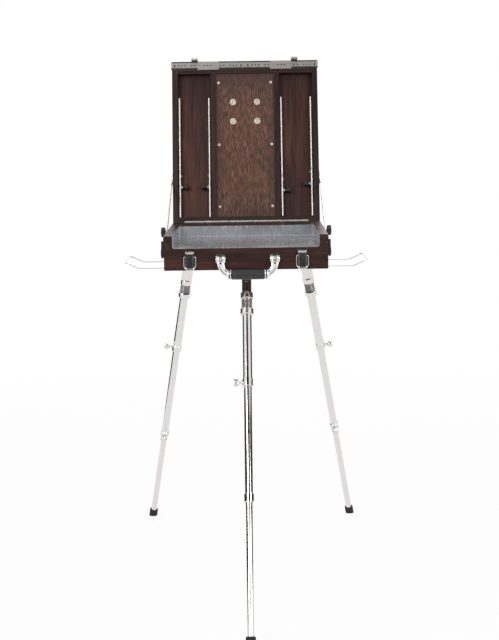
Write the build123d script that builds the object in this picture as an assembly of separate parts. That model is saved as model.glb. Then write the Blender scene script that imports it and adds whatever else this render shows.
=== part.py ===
from build123d import *
import math
import os

# A french easel: a wooden sketch box with a lid that stands open, on three telescopic legs.
# Everything is drawn in the box's own frame: X to the right, Y to the back from the front face,
# Z up from the box's bottom edge. The last lines stand it on the floor.

# Box
box_width = 400.0
box_depth = 446.0
box_height = 84.0
side_thickness = 20.0
front_thickness = 12.0
front_height = 53.0
back_thickness = 12.0
bottom_thickness = 6.0
bottom_recess = 8.0
partition_thickness = 6.0
stay_hole_depth = 12.0
deck_thickness = 10.0
cleat_width = 8.0
cleat_height = 12.0

# Gaps
running_gap = 0.05
free_gap = 0.3
seat_gap = 0.4
handle_gap = 1.2

# Tray
tray_depth = 316.0
tray_sheet = 1.2
tray_rim = 2.6
tray_corner = 5.0
tray_end_gap = 2.5

# Lid, measured up from the hinge and back from its rim
lid_open_angle = 105.0
lid_depth = 28.0
lid_overhang = 0.5
rim_gap = 1.3
stile_width = 15.0
bottom_rail_top = 13.8
top_rail_height = 34.8
divider_inner = 81.0
divider_width = 13.3
divider_depth = 20.0
ledge_width = 17.0
panel_depth = 5.0
panel_thickness = 6.0
lid_back_thickness = 6.0

# Lid hinge
knuckle_radius = 3.0
hinge_pin_radius = 1.2
hinge_inset = 32.0
knuckle_length = 18.65
hinge_end_inset = 1.0
hinge_leaf = 1.0
box_leaf_height = 26.0
lid_leaf_depth = 20.0
spacer_length = 6.8
spacer_gap = 2.2
spacer_start = 3.2

# Guide rods and the clamps that slide on them
rod_radius = 2.75
rod_depth = 8.0
rod_stand_off = 4.5
rod_top_drop = 101.5
rod_post_radius = 2.0
rod_seat = 8.0
rod_post_drop = 8.0
clamp_ring_radius = 4.2
clamp_ring_length = 6.0
clamp_plate = 2.0
clamp_plate_width = 5.0
clamp_block = 3.0
clamp_block_height = 8.0
clamp_plate_end = 6.0
clamp_tab = 2.6
clamp_tab_drop = 11.0
clamp_tab_height = 4.0
clamp_dot_radius = 1.3
clamp_reach = 43.0
clamp_heights = (141.4, 141.5, 129.4, 147.1)
clamp_stem_radius = 2.2
clamp_stem = 6.4
clamp_knob_radius = 7.5
clamp_knob_length = 13.5

# Centre panel screws and the mounting plate's bolts
panel_screw_x = 72.0
panel_screw_low_inset = 28.2
panel_screw_high_inset = 25.2
panel_screw_head = 4.0
panel_screw_rise = 2.0
panel_screw_round = 0.9
panel_screw_shank = 1.5
panel_screw_grip = 6.0
plate_bolt_x = 33.0
plate_bolt_drop = 80.6
plate_bolt_pitch = 54.0
plate_bolt_head = 9.0
plate_bolt_shank = 3.0
plate_bolt_rise = 3.0
plate_bolt_round = 1.4
mount_plate_size = (96.0, 86.0, 3.0)

# Perforated bars on the lid's top rail
bar_reach = 2.0
bar_width = 20.4
bar_thickness = 1.4
bar_drop = 22.0
track_sheet = 0.7
track_lip = 1.8
sleeve_length = 58.7
sleeve_shift = 1.0
hole_radius = 2.0
hole_pitch = 9.0
hole_group_count = 5
hole_group_inset = (30.6, 29.6)
end_slot_inset = (9.3, 9.1)
end_slot_length = 6.4

# Latches
latch_inset = 63.0
latch_pin_drop = 11.0
latch_pin_out = 5.0
latch_pin_radius = 1.5
latch_plate_width = 21.0
latch_plate_sheet = 1.2
latch_plate_top_drop = 4.3
latch_plate_height = 14.7
latch_knuckle_half = 6.2
latch_knuckle_radius = 3.0
lever_width = 21.0
lever_thickness = 7.0
lever_foot = 4.6
lever_foot_round = 3.0
lever_ear = 4.0
lever_ear_radius = 3.5
lever_neck_gap = 2.0
lever_inlay_width = 13.4
lever_inlay_depth = 2.0
lever_inlay_foot = 2.0
bail_drop = 9.0
bail_wire = 1.0
bail_half_width = 14.5
bail_foot_half = 8.0
bail_length = 31.2
bail_seat = 2.5
bail_foot_rise = 8.0
bail_bends = (2.0, 4.0, 3.0)
catch_half_width = 9.0
catch_sheet = 1.5
catch_tongue = 17.0
catch_seat = 20.0
catch_hook = 3.0

# Carrying handle
handle_x = 4.0
handle_pivot_half = 66.0
handle_pivot_height = 28.0
handle_pivot_out = 9.0
handle_lean = 7.6
handle_drop = 37.8
handle_pin_radius = 2.5
grip_radius = 12.8
grip_half_length = 40.5
handle_collar_radius = 10.5
handle_arm_depth = 10.0
handle_top_half_width = 11.0
handle_knuckle_radius = 6.0
handle_knuckle_width = 8.0
handle_mount_radius = 4.0
handle_plate = (22.0, 20.0, 1.5)
handle_plate_drop = 8.0
arm_top = 4.0
arm_inner = (2.5, 14.0)
arm_elbow = (9.5, 24.0)
arm_foot = 11.0
arm_outer = (4.5, 8.0)
arm_shoulder = 6.0

# Side loops of wire
loop_wire = 1.5
loop_inset = 95.0
loop_bend_out = 64.0
loop_tip_out = 97.0
loop_tip_height = 18.0
loop_height = 3.0
loop_near = 35.0
loop_far = 198.0
loop_corner = 12.0
loop_bend_radius = 9.0
loop_clip_inset = 50.0
loop_clip_length = 12.0
loop_clip_half_width = 6.0
loop_clip_wall = 0.8

# Strap lugs and their brackets
lug_pin_radius = 1.2
lug_pin_head = 2.4
lug_pin_head_rise = 2.0
lug_pin_drop = 21.0
lug_radius = 3.0
lug_sheet = 1.3
lug_length = 33.0
lug_front = 4.8
lug_width = 12.4
bracket_sheet = 1.2
bracket_ear = 1.5
bracket_top_drop = 4.5
bracket_foot = 4.0
ear_rise = 8.0
ear_reach = 3.0

# Lid stays
stay_out = 3.5
stay_sheet = 2.5
stay_half_width = 6.0
stay_lid_height = 118.0
stay_lid_depth = 20.0
stay_bolt_y = 213.0
stay_bolt_drop = 7.0
stay_bolt_radius = 3.0
stay_bolt_grip = 11.0
stay_notch_gap = 0.6
stay_notch_lean = 28.0
stay_tip = 12.0
stay_clip_length = 30.0
stay_clip_half_width = 8.0
stay_stud_radius = 3.0
stay_stud_head = 5.0
stay_stud_rise = 1.5
stay_plate_up = (12.0, 20.0)
stay_plate_back = (13.0, 6.0)
stay_knob_radius = 9.0
stay_knob_lobe = 4.0
stay_knob_lobes = 6
stay_knob_length = 12.0
stay_knob_gap = 3.5
stay_washer_radius = 6.0

# Legs, measured along the leg from its pivot
pivot_drop = 20.0
front_pivot_y = 83.0
rear_pivot_side_inset = 43.6
rear_pivot_inset = 56.6
rear_tilt = 26.72
rear_cant = 9.95
leg_reach = 919.7
leg_pin_radius = 4.0
leg_pin_head = 6.5
leg_pin_head_rise = 1.5
head_radius = 12.0
head_end = 50.5
front_head_width = 20.0
front_column_radius = 5.3
front_column_out = 6.6
front_web = 5.0
front_neck = 8.0
rear_head_width = 32.1
rear_head_end_width = 28.0
cheek_thickness = 3.0
cheek_radius = 14.0
foot_plate_thickness = 3.0
foot_plate_overlap = 12.0
foot_plate_half_depth = 26.0
foot_plate_inset = 1.0
neck_radius = 10.0
upper_ring = (50.5, 67.0, 15.5)
lower_ring = (93.0, 109.0, 16.5)
ring_chamfer = 1.2
upper_tube_radius = 11.5
collar_step = 6.0
tube_bore_drop = 3.0
collar_length = 20.0
first_collar_share = 0.308796
first_collar_radius = 13.0
middle_tube_radius = 9.75
middle_tube_share = 0.391432
second_collar_shares = {"front": 0.619767, "rear_left": 0.648037, "rear_right": 0.625204}
second_collar_radius = 12.0
collar_lip = 4.0
collar_chamfer = 0.8
lower_tube_radius = 8.25
lower_tube_share = 0.403392
lower_tube_wall = 1.2
foot_height = 25.7
foot_chamfer = 1.5
foot_radius = 12.0
foot_bore_depth = 11.0

# Leg springs
spring_wire = 1.4
spring_radius = 12.1
spring_turns = 6
spring_pitch = 3.7
spring_stop = (3.2, 4.0, 3.0)
spring_tail = 2.8
spring_stop_lean = 0.3
spring_stop_shift = 0.5

# Thumb screws
screw_radius = 3.0
screw_tip_gap = 0.35
screw_neck = 23.0
screw_end = 35.0
screw_head_radius = 8.75
screw_head_chamfer = 1.2

# Small wood screws on the front
front_screw_inset = 33.5
front_screw_height = 4.5
front_screw_radius = 2.0
front_screw_rise = 1.0
post_screw_inset = 4.0
post_screw_drop = 20.0
post_screw_radius = 2.5

# Sizes that follow from the ones above
half_width = box_width / 2
inner_half = half_width - side_thickness
hinge_half_length = half_width - hinge_inset
hinge_end = half_width - hinge_end_inset
bar_end = half_width + bar_reach
sleeve_x = bar_end / 2 - sleeve_shift
hole_group_pitch = (bar_end - sum(hole_group_inset)) / (hole_group_count - 1)
hole_groups = [hole_group_inset[0] + i * hole_group_pitch for i in range(hole_group_count)]
end_slots = (end_slot_inset[0], bar_end - end_slot_inset[1])
latch_x = half_width - latch_inset
loop_inner_x = half_width - loop_inset
loop_bend_x = half_width + loop_bend_out
loop_tip_x = half_width + loop_tip_out
loop_clip_x = half_width - loop_clip_inset
stay_x = half_width + stay_out
stay_knob_inner = stay_x + stay_knob_gap
rear_pivot_x = half_width - rear_pivot_side_inset
front_screw_x = half_width - front_screw_inset
post_screw_x = half_width - post_screw_inset
panel_top = bottom_recess + bottom_thickness
tray_bottom = front_height + free_gap
tray_half = inner_half - 2 * free_gap
deck_front = tray_depth + tray_end_gap
hinge_y = box_depth + knuckle_radius + free_gap
hinge_z = box_height + rim_gap
lid_length = hinge_y + lid_overhang
lean = lid_open_angle - 90
top_rail_bottom = lid_length - top_rail_height
divider_outer = divider_inner + divider_width
lid_back_depth = divider_depth + lid_back_thickness
front_tilt = math.degrees(
    math.acos(math.cos(math.radians(rear_tilt)) * math.cos(math.radians(rear_cant)))
)
first_collar = first_collar_share * leg_reach
second_collars = {name: share * leg_reach for name, share in second_collar_shares.items()}
upper_tube_end = first_collar + collar_step
middle_tube_length = middle_tube_share * leg_reach
lower_tube_length = lower_tube_share * leg_reach
stand_height = pivot_drop + leg_reach * math.cos(math.radians(front_tilt))
rod_top = lid_length - rod_top_drop
panel_screw_low = bottom_rail_top + panel_screw_low_inset
panel_screw_high = top_rail_bottom - panel_screw_high_inset
panel_screw_heights = (panel_screw_low, (panel_screw_low + panel_screw_high) / 2,
                       panel_screw_high)
plate_bolt_high = top_rail_bottom - plate_bolt_drop
plate_bolt_heights = (plate_bolt_high - plate_bolt_pitch, plate_bolt_high)
latch_pin_height = front_height - latch_pin_drop
latch_plate_top = front_height - latch_plate_top_drop
latch_plate_bottom = latch_plate_top - latch_plate_height
lug_pin_height = box_height - lug_pin_drop
lug_pin_x = half_width + lug_radius + seat_gap
stay_bolt_height = box_height - stay_bolt_drop
rear_pivot_y = box_depth - rear_pivot_inset
tube_bore_start = lower_ring[1] + tube_bore_drop
foot_top = leg_reach - foot_height
bar_low_edge = lid_length - bar_drop
track_low = bar_low_edge - track_sheet - 2 * free_gap
track_high = bar_low_edge + bar_width + track_sheet + 2 * free_gap
track_depth = 2 * free_gap + bar_thickness + 2 * track_sheet + free_gap


def block(x0, x1, y0, y1, z0, z1):
    centre = Pos((x0 + x1) / 2, (y0 + y1) / 2, (z0 + z1) / 2)
    return centre * Box(x1 - x0, y1 - y0, z1 - z0)


def round_bar(start, end, radius):
    start = Vector(*start)
    end = Vector(*end)
    plane = Plane(origin=start, z_dir=end - start)
    return extrude(plane * Circle(radius), (end - start).length)


def across(x0, x1, y, z, radius):
    return round_bar((x0, y, z), (x1, y, z), radius)


def sided(shape, side):
    return shape if side > 0 else mirror(shape, Plane.YZ)


def lid_block(x0, x1, up0, up1, back0, back1):
    return block(x0, x1, up0, up1, -back1, -back0)


def lid_bar(x, up, back0, back1, radius):
    return round_bar((x, up, -back0), (x, up, -back1), radius)


lid_place = Pos(0, hinge_y, hinge_z) * Rot(90 - lean, 0, 0)
sides = {"left": -1, "right": 1}


# The box

def side_panel():
    panel = block(inner_half, half_width, 0, box_depth, 0, box_height)
    panel -= block(inner_half, half_width, 0, front_thickness, 0, front_height)
    for y in (loop_near, loop_far):
        slot = loop_wire + free_gap
        panel -= block(inner_half, half_width, y - slot, y + slot, 0, loop_height + slot)
    hole = stay_bolt_radius + running_gap
    panel -= across(half_width - stay_hole_depth, half_width, stay_bolt_y,
                    stay_bolt_height, hole)
    return panel


def front_panel():
    return block(-half_width, half_width, 0, front_thickness, 0, front_height)


def back_panel():
    return block(-inner_half, inner_half, box_depth - back_thickness, box_depth, 0, box_height)


def bottom_panel():
    back = box_depth - back_thickness
    return block(-inner_half, inner_half, front_thickness, back, bottom_recess, panel_top)


def inner_woodwork():
    back = box_depth - back_thickness
    deck_bottom = box_height - deck_thickness
    deck = block(-inner_half, inner_half, deck_front, back, deck_bottom, box_height)
    wall_back = deck_front + partition_thickness
    partition = block(-inner_half, inner_half, deck_front, wall_back, panel_top, deck_bottom)
    cleat = block(inner_half - cleat_width, inner_half, front_thickness, deck_front,
                  front_height - cleat_height, front_height)
    return [deck, partition, cleat, mirror(cleat, Plane.YZ)]


def tray_folds(shape):
    sides = shape.edges().filter_by(Axis.Y).group_by(Axis.Z)[0]
    back = shape.edges().filter_by(Axis.X).group_by(Axis.Z)[0].sort_by(Axis.Y)[-1:]
    corners = shape.edges().filter_by(Axis.Z).group_by(Axis.Y)[-1]
    return sides + back + corners


def tray():
    back = tray_depth
    past = tray_corner
    shell = block(-tray_half, tray_half, free_gap, back, tray_bottom, box_height)
    shell = fillet(tray_folds(shell), tray_corner)
    hollow_half = tray_half - tray_sheet
    hollow = block(-hollow_half, hollow_half, -past, back - tray_sheet,
                   tray_bottom + tray_sheet, box_height + past)
    hollow = fillet(tray_folds(hollow), tray_corner - tray_sheet)
    rim_hollow = block(-tray_half + tray_rim, tray_half - tray_rim, -past,
                       free_gap + tray_rim + past, tray_bottom + tray_rim, box_height + past)
    rim_edges = rim_hollow.edges().filter_by(Axis.Y).group_by(Axis.Z)[0]
    rim_hollow = fillet(rim_edges, tray_corner - tray_rim)
    sheet = shell - hollow
    rim = shell & block(-half_width, half_width, free_gap, free_gap + tray_rim, 0, box_height)
    return sheet + (rim - rim_hollow)


# The lid, drawn flat: X across, Y up from the hinge, Z towards the rim

def lid_frame():
    hinge_groove = across(-half_width, half_width, 0, 0, knuckle_radius + seat_gap)
    recess = lid_block(-half_width, half_width, track_low, lid_length, 0, track_depth)
    parts = []
    for side in (-1, 1):
        stile = sided(lid_block(half_width - stile_width, half_width, hinge_leaf, lid_length,
                                0, lid_depth), side)
        parts.append(stile - hinge_groove - recess)
    rail_half = half_width - stile_width
    bottom = lid_block(-rail_half, rail_half, hinge_leaf, bottom_rail_top, 0, lid_depth)
    for x in rod_places():
        low = bottom_rail_top - rod_seat
        bottom -= round_bar((x, low, -rod_depth), (x, bottom_rail_top, -rod_depth), rod_radius)
    parts.append(bottom - hinge_groove)
    top = lid_block(-rail_half, rail_half, top_rail_bottom, lid_length, 0, lid_depth)
    parts.append(top - recess)
    ledge_front = panel_depth + panel_thickness
    for side in (-1, 1):
        divider = lid_block(divider_inner, divider_outer, bottom_rail_top, top_rail_bottom,
                            0, divider_depth)
        divider += lid_block(divider_inner - ledge_width, divider_inner, bottom_rail_top,
                             top_rail_bottom, ledge_front, divider_depth)
        for up in panel_screw_heights:
            divider -= lid_bar(panel_screw_x, up, ledge_front,
                               ledge_front + panel_screw_grip, panel_screw_shank)
        parts.append(sided(divider, side))
    return parts


def lid_back_panel():
    rail_half = half_width - stile_width
    return lid_block(-rail_half, rail_half, bottom_rail_top, top_rail_bottom,
                     divider_depth, lid_back_depth)


def lid_center_panel():
    back = panel_depth + panel_thickness
    panel = lid_block(-divider_inner, divider_inner, bottom_rail_top, top_rail_bottom,
                      panel_depth, back)
    for side in (-1, 1):
        for up in panel_screw_heights:
            panel -= lid_bar(side * panel_screw_x, up, panel_depth, back, panel_screw_shank)
        for up in plate_bolt_heights:
            panel -= lid_bar(side * plate_bolt_x, up, panel_depth, back, plate_bolt_shank)
    return panel


def panel_screws():
    screws = []
    for side in (-1, 1):
        for up in panel_screw_heights:
            x = side * panel_screw_x
            head = lid_bar(x, up, panel_depth - panel_screw_rise, panel_depth,
                           panel_screw_head)
            head = fillet(head.edges().group_by(Axis.Z)[-1], panel_screw_round)
            shank = lid_bar(x, up, panel_depth,
                            panel_depth + panel_thickness + panel_screw_grip,
                            panel_screw_shank)
            screws.append(head + shank)
    return screws


def mount_plate():
    width, height, thickness = mount_plate_size
    front = panel_depth + panel_thickness
    middle = sum(plate_bolt_heights) / 2
    plate = lid_block(-width / 2, width / 2, middle - height / 2, middle + height / 2,
                      front, front + thickness)
    bolts = []
    for side in (-1, 1):
        for up in plate_bolt_heights:
            x = side * plate_bolt_x
            plate -= lid_bar(x, up, front, front + thickness, plate_bolt_shank)
            head = lid_bar(x, up, panel_depth - plate_bolt_rise, panel_depth, plate_bolt_head)
            head = fillet(head.edges().group_by(Axis.Z)[-1], plate_bolt_round)
            shank = lid_bar(x, up, panel_depth, front + thickness, plate_bolt_shank)
            bolts.append(head + shank)
    return [plate] + bolts


def rod_places():
    outer = half_width - stile_width - rod_stand_off
    inner = divider_outer + rod_stand_off
    return (-outer, -inner, inner, outer)


def guide_rods():
    rods = []
    for x in rod_places():
        low = bottom_rail_top - rod_seat
        rod = round_bar((x, low, -rod_depth), (x, rod_top, -rod_depth), rod_radius)
        rod = chamfer(rod.edges().group_by(Axis.Y)[-1], rod_radius / 3)
        rod += lid_bar(x, rod_top - rod_post_drop, rod_depth, divider_depth,
                       rod_post_radius)
        rods.append(rod)
    return rods


def panel_clamp(x, inward, up):
    # inward is +1 or -1, the side on which the middle of the bay lies
    def beside(out0, out1, up0, up1, back0, back1):
        ends = sorted((x + inward * out0, x + inward * out1))
        return lid_block(ends[0], ends[1], up0, up1, back0, back1)

    ring_low = up - clamp_ring_length / 2
    ring_high = up + clamp_ring_length / 2
    ring = round_bar((x, ring_low, -rod_depth), (x, ring_high, -rod_depth), clamp_ring_radius)
    ring = chamfer(ring.edges().filter_by(GeomType.CIRCLE), clamp_ring_radius / 8)
    root = rod_radius + seat_gap
    back0 = rod_depth + root
    back1 = back0 + clamp_plate
    half_plate = clamp_plate_width / 2
    knob_up = up - clamp_reach
    knob_low = knob_up - clamp_block_height / 2
    knob_high = knob_up + clamp_block_height / 2
    block_end = root + clamp_block
    plate = lid_block(x - half_plate, x + half_plate, knob_up - clamp_plate_end,
                      ring_low + clamp_ring_length / 6, back0, back1)
    lug = beside(root, block_end, knob_low, knob_high, rod_depth, back1)
    web = beside(0, block_end, knob_low, knob_high, back0, back1)
    tab_up = up - clamp_tab_drop
    tab_low = tab_up - clamp_tab_height / 2
    tab = beside(0, root + clamp_tab, tab_low, tab_low + clamp_tab_height, back0, back1)
    dot = lid_bar(x + inward * (root + clamp_tab / 2), tab_up, rod_depth - clamp_dot_radius,
                  back1, clamp_dot_radius)
    stem_end = x + inward * (root + clamp_stem)
    knob_end = stem_end + inward * clamp_knob_length
    stem = round_bar((x + inward * root, knob_up, -rod_depth),
                     (stem_end, knob_up, -rod_depth), clamp_stem_radius)
    knob = round_bar((stem_end, knob_up, -rod_depth), (knob_end, knob_up, -rod_depth),
                     clamp_knob_radius)
    knob = chamfer(knob.edges().filter_by(GeomType.CIRCLE), clamp_knob_radius / 5)
    body = ring + plate + lug + web + tab + dot + stem
    bore = rod_radius + running_gap
    body -= round_bar((x, ring_low - clamp_ring_length, -rod_depth),
                      (x, up + clamp_ring_length, -rod_depth), bore)
    return [body, knob]


def track():
    low = track_low
    high = track_high
    base0 = track_depth - track_sheet
    lip0 = free_gap
    lip1 = lip0 + track_sheet
    end = half_width - free_gap
    parts = lid_block(-end, end, low, high, base0, track_depth)
    parts += lid_block(-end, end, low, low + track_sheet, lip0, track_depth)
    parts += lid_block(-end, end, high - track_sheet, high, lip0, track_depth)
    parts += lid_block(-end, end, low, low + track_sheet + track_lip, lip0, lip1)
    parts += lid_block(-end, end, high - track_sheet - track_lip, high, lip0, lip1)
    for side in (-1, 1):
        x = side * sleeve_x
        sleeve = lid_block(x - sleeve_length / 2, x + sleeve_length / 2, low, high, lip0, lip1)
        parts += sleeve
        for group in hole_groups:
            if abs(group - sleeve_x) < sleeve_length / 2:
                parts -= hole_row(side * group, lip0, lip1)
    return parts


def hole_row(x, back0, back1):
    middle = bar_low_edge + bar_width / 2
    holes = []
    for step in (-1, 0, 1):
        holes.append(lid_bar(x + step * hole_pitch, middle, back0, back1, hole_radius))
    return holes


def slide_bar():
    back0 = free_gap + track_sheet + free_gap
    back1 = back0 + bar_thickness
    high = bar_low_edge + bar_width
    middle = (bar_low_edge + high) / 2
    plate = lid_block(free_gap / 2, bar_end, bar_low_edge, high, back0, back1)
    for group in hole_groups:
        plate -= hole_row(group, back0, back1)
    for x in end_slots:
        slot = Plane.XY.offset(-back1) * Pos(x, middle) * Rot(0, 0, 90)
        plate -= extrude(slot * SlotOverall(end_slot_length, 2 * hole_radius), bar_thickness)
    return plate


def hinge_spans(half):
    # Knuckles alternate along the pin; the even ones belong to the box leaf
    count = int(2 * hinge_half_length // knuckle_length)
    step = 2 * hinge_half_length / count
    spans = []
    for i in range(half, count, 2):
        x0 = -hinge_half_length + i * step + free_gap / 2
        spans.append((x0, x0 + step - free_gap))
    return spans


def on_pin(x0, x1, side):
    ends = sorted((side * x0, side * x1))
    sleeve = across(ends[0], ends[1], hinge_y, hinge_z, knuckle_radius)
    return sleeve - across(ends[0], ends[1], hinge_y, hinge_z, hinge_pin_radius)


def hinge_box_leaf():
    # The leaf lies on the back panel's outer face, below the lid's knuckles
    leaf_back = box_depth + hinge_leaf
    leaf_top = hinge_z - knuckle_radius - seat_gap
    leaf = block(-hinge_half_length, hinge_half_length, box_depth, leaf_back,
                 leaf_top - box_leaf_height, leaf_top)
    for x0, x1 in hinge_spans(0):
        leaf += block(x0, x1, box_depth, leaf_back, leaf_top, hinge_z)
        leaf += across(x0, x1, hinge_y, hinge_z, knuckle_radius)
    leaf -= across(-half_width, half_width, hinge_y, hinge_z, hinge_pin_radius)
    pin = across(-hinge_end, hinge_end, hinge_y, hinge_z, hinge_pin_radius)
    parts = [leaf, pin]
    first = hinge_half_length + spacer_start
    second = first + spacer_length + spacer_gap
    cap = second + spacer_length + free_gap
    for side in (-1, 1):
        parts.append(on_pin(first, first + spacer_length, side))
        parts.append(on_pin(second, second + spacer_length, side))
        parts.append(on_pin(cap, hinge_end, side))
    return parts


def hinge_lid_leaf():
    # The leaf lies along the lid's lower edge, behind its rim
    clear = knuckle_radius + seat_gap
    leaf = lid_block(-hinge_half_length, hinge_half_length, 0, hinge_leaf, clear,
                     lid_leaf_depth)
    for x0, x1 in hinge_spans(1):
        leaf += lid_block(x0, x1, 0, hinge_leaf, 0, clear)
        leaf += across(x0, x1, 0, 0, knuckle_radius)
    return leaf - across(-half_width, half_width, 0, 0, hinge_pin_radius + running_gap)


def lid_fittings():
    parts = []
    for side in (-1, 1):
        x = side * latch_x
        plate = lid_block(x - catch_half_width, x + catch_half_width, lid_length,
                          lid_length + catch_sheet, -catch_tongue, catch_seat)
        plate += lid_block(x - catch_half_width, x + catch_half_width, lid_length,
                           lid_length + catch_sheet + catch_hook, -catch_tongue,
                           -catch_tongue + catch_hook)
        parts.append(plate)
    plate_outer = stay_x - stay_sheet / 2 - 2 * free_gap
    head_inner = stay_x + stay_sheet / 2 + free_gap
    head_outer = head_inner + stay_stud_rise
    up = stay_lid_height
    back = -stay_lid_depth
    for side in (-1, 1):
        plate = lid_block(half_width, plate_outer, up - stay_plate_up[0], up + stay_plate_up[1],
                          stay_lid_depth - stay_plate_back[0],
                          stay_lid_depth + stay_plate_back[1])
        stud = across(half_width, head_outer, up, back, stay_stud_radius)
        stud += across(head_inner, head_outer, up, back, stay_stud_head)
        parts.append(sided(plate + stud, side))
    return parts


# Latches and handle on the front panel

def latch_plate(x):
    y = -latch_pin_out
    z = latch_pin_height
    half = latch_plate_width / 2
    plate = block(x - half, x + half, -latch_plate_sheet, 0, latch_plate_bottom,
                  latch_plate_top)
    knuckle = across(x - latch_knuckle_half, x + latch_knuckle_half, y, z,
                     latch_knuckle_radius)
    knuckle += block(x - latch_knuckle_half, x + latch_knuckle_half, y, 0, z,
                     z + latch_knuckle_radius)
    plate = plate + knuckle - across(x - half, x + half, y, z, latch_pin_radius)
    pin = across(x - half, x + half, y, z, latch_pin_radius)
    return [plate, pin]


def latch_lever(x):
    y = -latch_pin_out
    z = latch_pin_height
    half = lever_width / 2
    front = y - lever_thickness / 2
    back = y + lever_thickness / 2
    neck = z - latch_knuckle_radius - lever_neck_gap
    body = block(x - half, x + half, front, back, lever_foot, neck)
    foot_edges = body.edges().filter_by(Axis.Y).group_by(Axis.Z)[0]
    body = fillet(foot_edges, lever_foot_round)
    for side in (-1, 1):
        ends = sorted((x + side * (half - lever_ear), x + side * half))
        body += block(ends[0], ends[1], front, back, neck - lever_neck_gap, z)
        body += across(ends[0], ends[1], y, z, lever_ear_radius)
    inlay_half = lever_inlay_width / 2
    inlay = block(x - inlay_half, x + inlay_half, front, front + lever_inlay_depth,
                  lever_foot + lever_inlay_foot, neck)
    body -= inlay
    body -= across(x - half, x + half, y, z, latch_pin_radius + running_gap)
    pivot = z - bail_drop
    for side in (-1, 1):
        ends = sorted((x + side * (half - bail_seat), x + side * half))
        body -= across(ends[0], ends[1], y, pivot, bail_wire + running_gap)
    return [body, inlay]


def latch_bail(x):
    y = -latch_pin_out
    top = latch_pin_height - bail_drop
    low = top - bail_length
    half = lever_width / 2
    wide = bail_half_width
    foot = bail_foot_half
    knee = low + bail_foot_rise
    points = [(x - half + bail_seat - free_gap, y, top), (x - wide, y, top),
              (x - wide, y, knee), (x - foot, y, low), (x + foot, y, low),
              (x + wide, y, knee), (x + wide, y, top),
              (x + half - bail_seat + free_gap, y, top)]
    shoulder, bend, corner = bail_bends
    path = FilletPolyline(*points, radius=[shoulder, bend, corner, corner, bend, shoulder])
    start = Plane(origin=points[0], z_dir=(-1, 0, 0))
    return sweep(start * Circle(bail_wire), path=path)


def handle_mount(x):
    y = -handle_pivot_out
    z = handle_pivot_height
    half = handle_knuckle_width / 2
    width, height, sheet = handle_plate
    low = z - handle_plate_drop
    plate = block(x - width / 2, x + width / 2, -sheet, 0, low, low + height)
    radius = handle_mount_radius
    knuckle = block(x - half, x + half, y, 0, z - radius, z + radius)
    knuckle += across(x - half, x + half, y, z, radius)
    reach = handle_top_half_width
    mount = plate + knuckle - across(x - reach, x + reach, y, z, handle_pin_radius)
    pin = across(x - reach, x + reach, y, z, handle_pin_radius)
    return [mount, pin]


def handle_arm(side):
    # Drawn hanging straight down from its pivot, then leaned out to the grip
    x = side * handle_pivot_half
    top = handle_top_half_width
    drop = handle_drop
    reach = handle_pivot_half - grip_half_length
    elbow = reach - arm_elbow[0]
    with BuildSketch(Plane.XZ.offset(-handle_arm_depth / 2)) as outline:
        with BuildLine():
            upper = Line((-top, arm_top), (top, arm_top))
            inner = ThreePointArc(upper @ 1, (top + arm_inner[0], -arm_inner[1]),
                                  (elbow, -arm_elbow[1]))
            floor = Line(inner @ 1, (elbow, -drop - arm_foot))
            outer = ThreePointArc(floor @ 1, (arm_outer[0] - top, arm_outer[1] - drop),
                                  (-top, -arm_shoulder))
            Line(outer @ 1, upper @ 0)
        make_face()
    arm = extrude(outline.sketch, handle_arm_depth)
    arm += across(-top, top, 0, 0, handle_knuckle_radius)
    gap = handle_knuckle_width / 2 + free_gap
    arm -= block(-gap, gap, -drop, drop, -handle_knuckle_radius - handle_gap, drop)
    collar = across(reach - arm_foot, reach, 0, -drop, handle_collar_radius)
    arm += collar
    arm -= across(-top, top, 0, 0, handle_pin_radius + running_gap)
    arm = sided(arm, -side)
    return Pos(x, 0, 0) * arm


def on_handle(shape):
    hang = Pos(handle_x, -handle_pivot_out, handle_pivot_height) * Rot(-handle_lean, 0, 0)
    return hang * shape


def handle_grip():
    grip = across(-grip_half_length, grip_half_length, 0, -handle_drop, grip_radius)
    return fillet(grip.edges().filter_by(GeomType.CIRCLE), 1.5)


def small_screw(x, z, radius):
    return round_bar((x, -front_screw_rise, z), (x, 0, z), radius)


def lug_bracket():
    back = lug_front + lug_width
    y0 = lug_front - free_gap - bracket_ear
    y1 = back + free_gap + bracket_ear
    z = lug_pin_height
    plate = block(half_width, half_width + bracket_sheet, y0, y1, z + bracket_foot,
                  box_height - bracket_top_drop)
    for low, high in ((y0, lug_front - free_gap), (back + free_gap, y1)):
        plate += block(half_width, lug_pin_x + ear_reach, low, high, z - ear_reach, z + ear_rise)
    plate += round_bar((lug_pin_x, y0, z), (lug_pin_x, y1, z), lug_pin_radius)
    return plate + round_bar((lug_pin_x, y0 - lug_pin_head_rise, z), (lug_pin_x, y0, z),
                             lug_pin_head)


def strap_lug():
    low = lug_pin_height + lug_radius - lug_length
    inner = lug_radius - lug_sheet
    y0 = lug_front
    y1 = lug_front + lug_width

    def band(radius):
        body = block(lug_pin_x - radius, lug_pin_x + radius, y0, y1, low, lug_pin_height)
        for z in (low, lug_pin_height):
            body += round_bar((lug_pin_x, y0, z), (lug_pin_x, y1, z), radius)
        return body

    return band(lug_radius) - band(inner)


def side_loop():
    tip_x = loop_tip_x
    tip_z = loop_tip_height
    z = loop_height
    points = [(loop_inner_x, loop_near, z), (loop_bend_x, loop_near, z),
              (tip_x, loop_near, tip_z), (tip_x, loop_far, tip_z),
              (loop_bend_x, loop_far, z), (loop_inner_x, loop_far, z)]
    radii = [loop_corner, loop_bend_radius, loop_corner, loop_corner, loop_bend_radius,
             loop_corner]
    path = FilletPolyline(*points, radius=radii, close=True)
    plane = Plane(origin=path @ 0, z_dir=path % 0)
    return sweep(plane * Circle(loop_wire), path=path)


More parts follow.
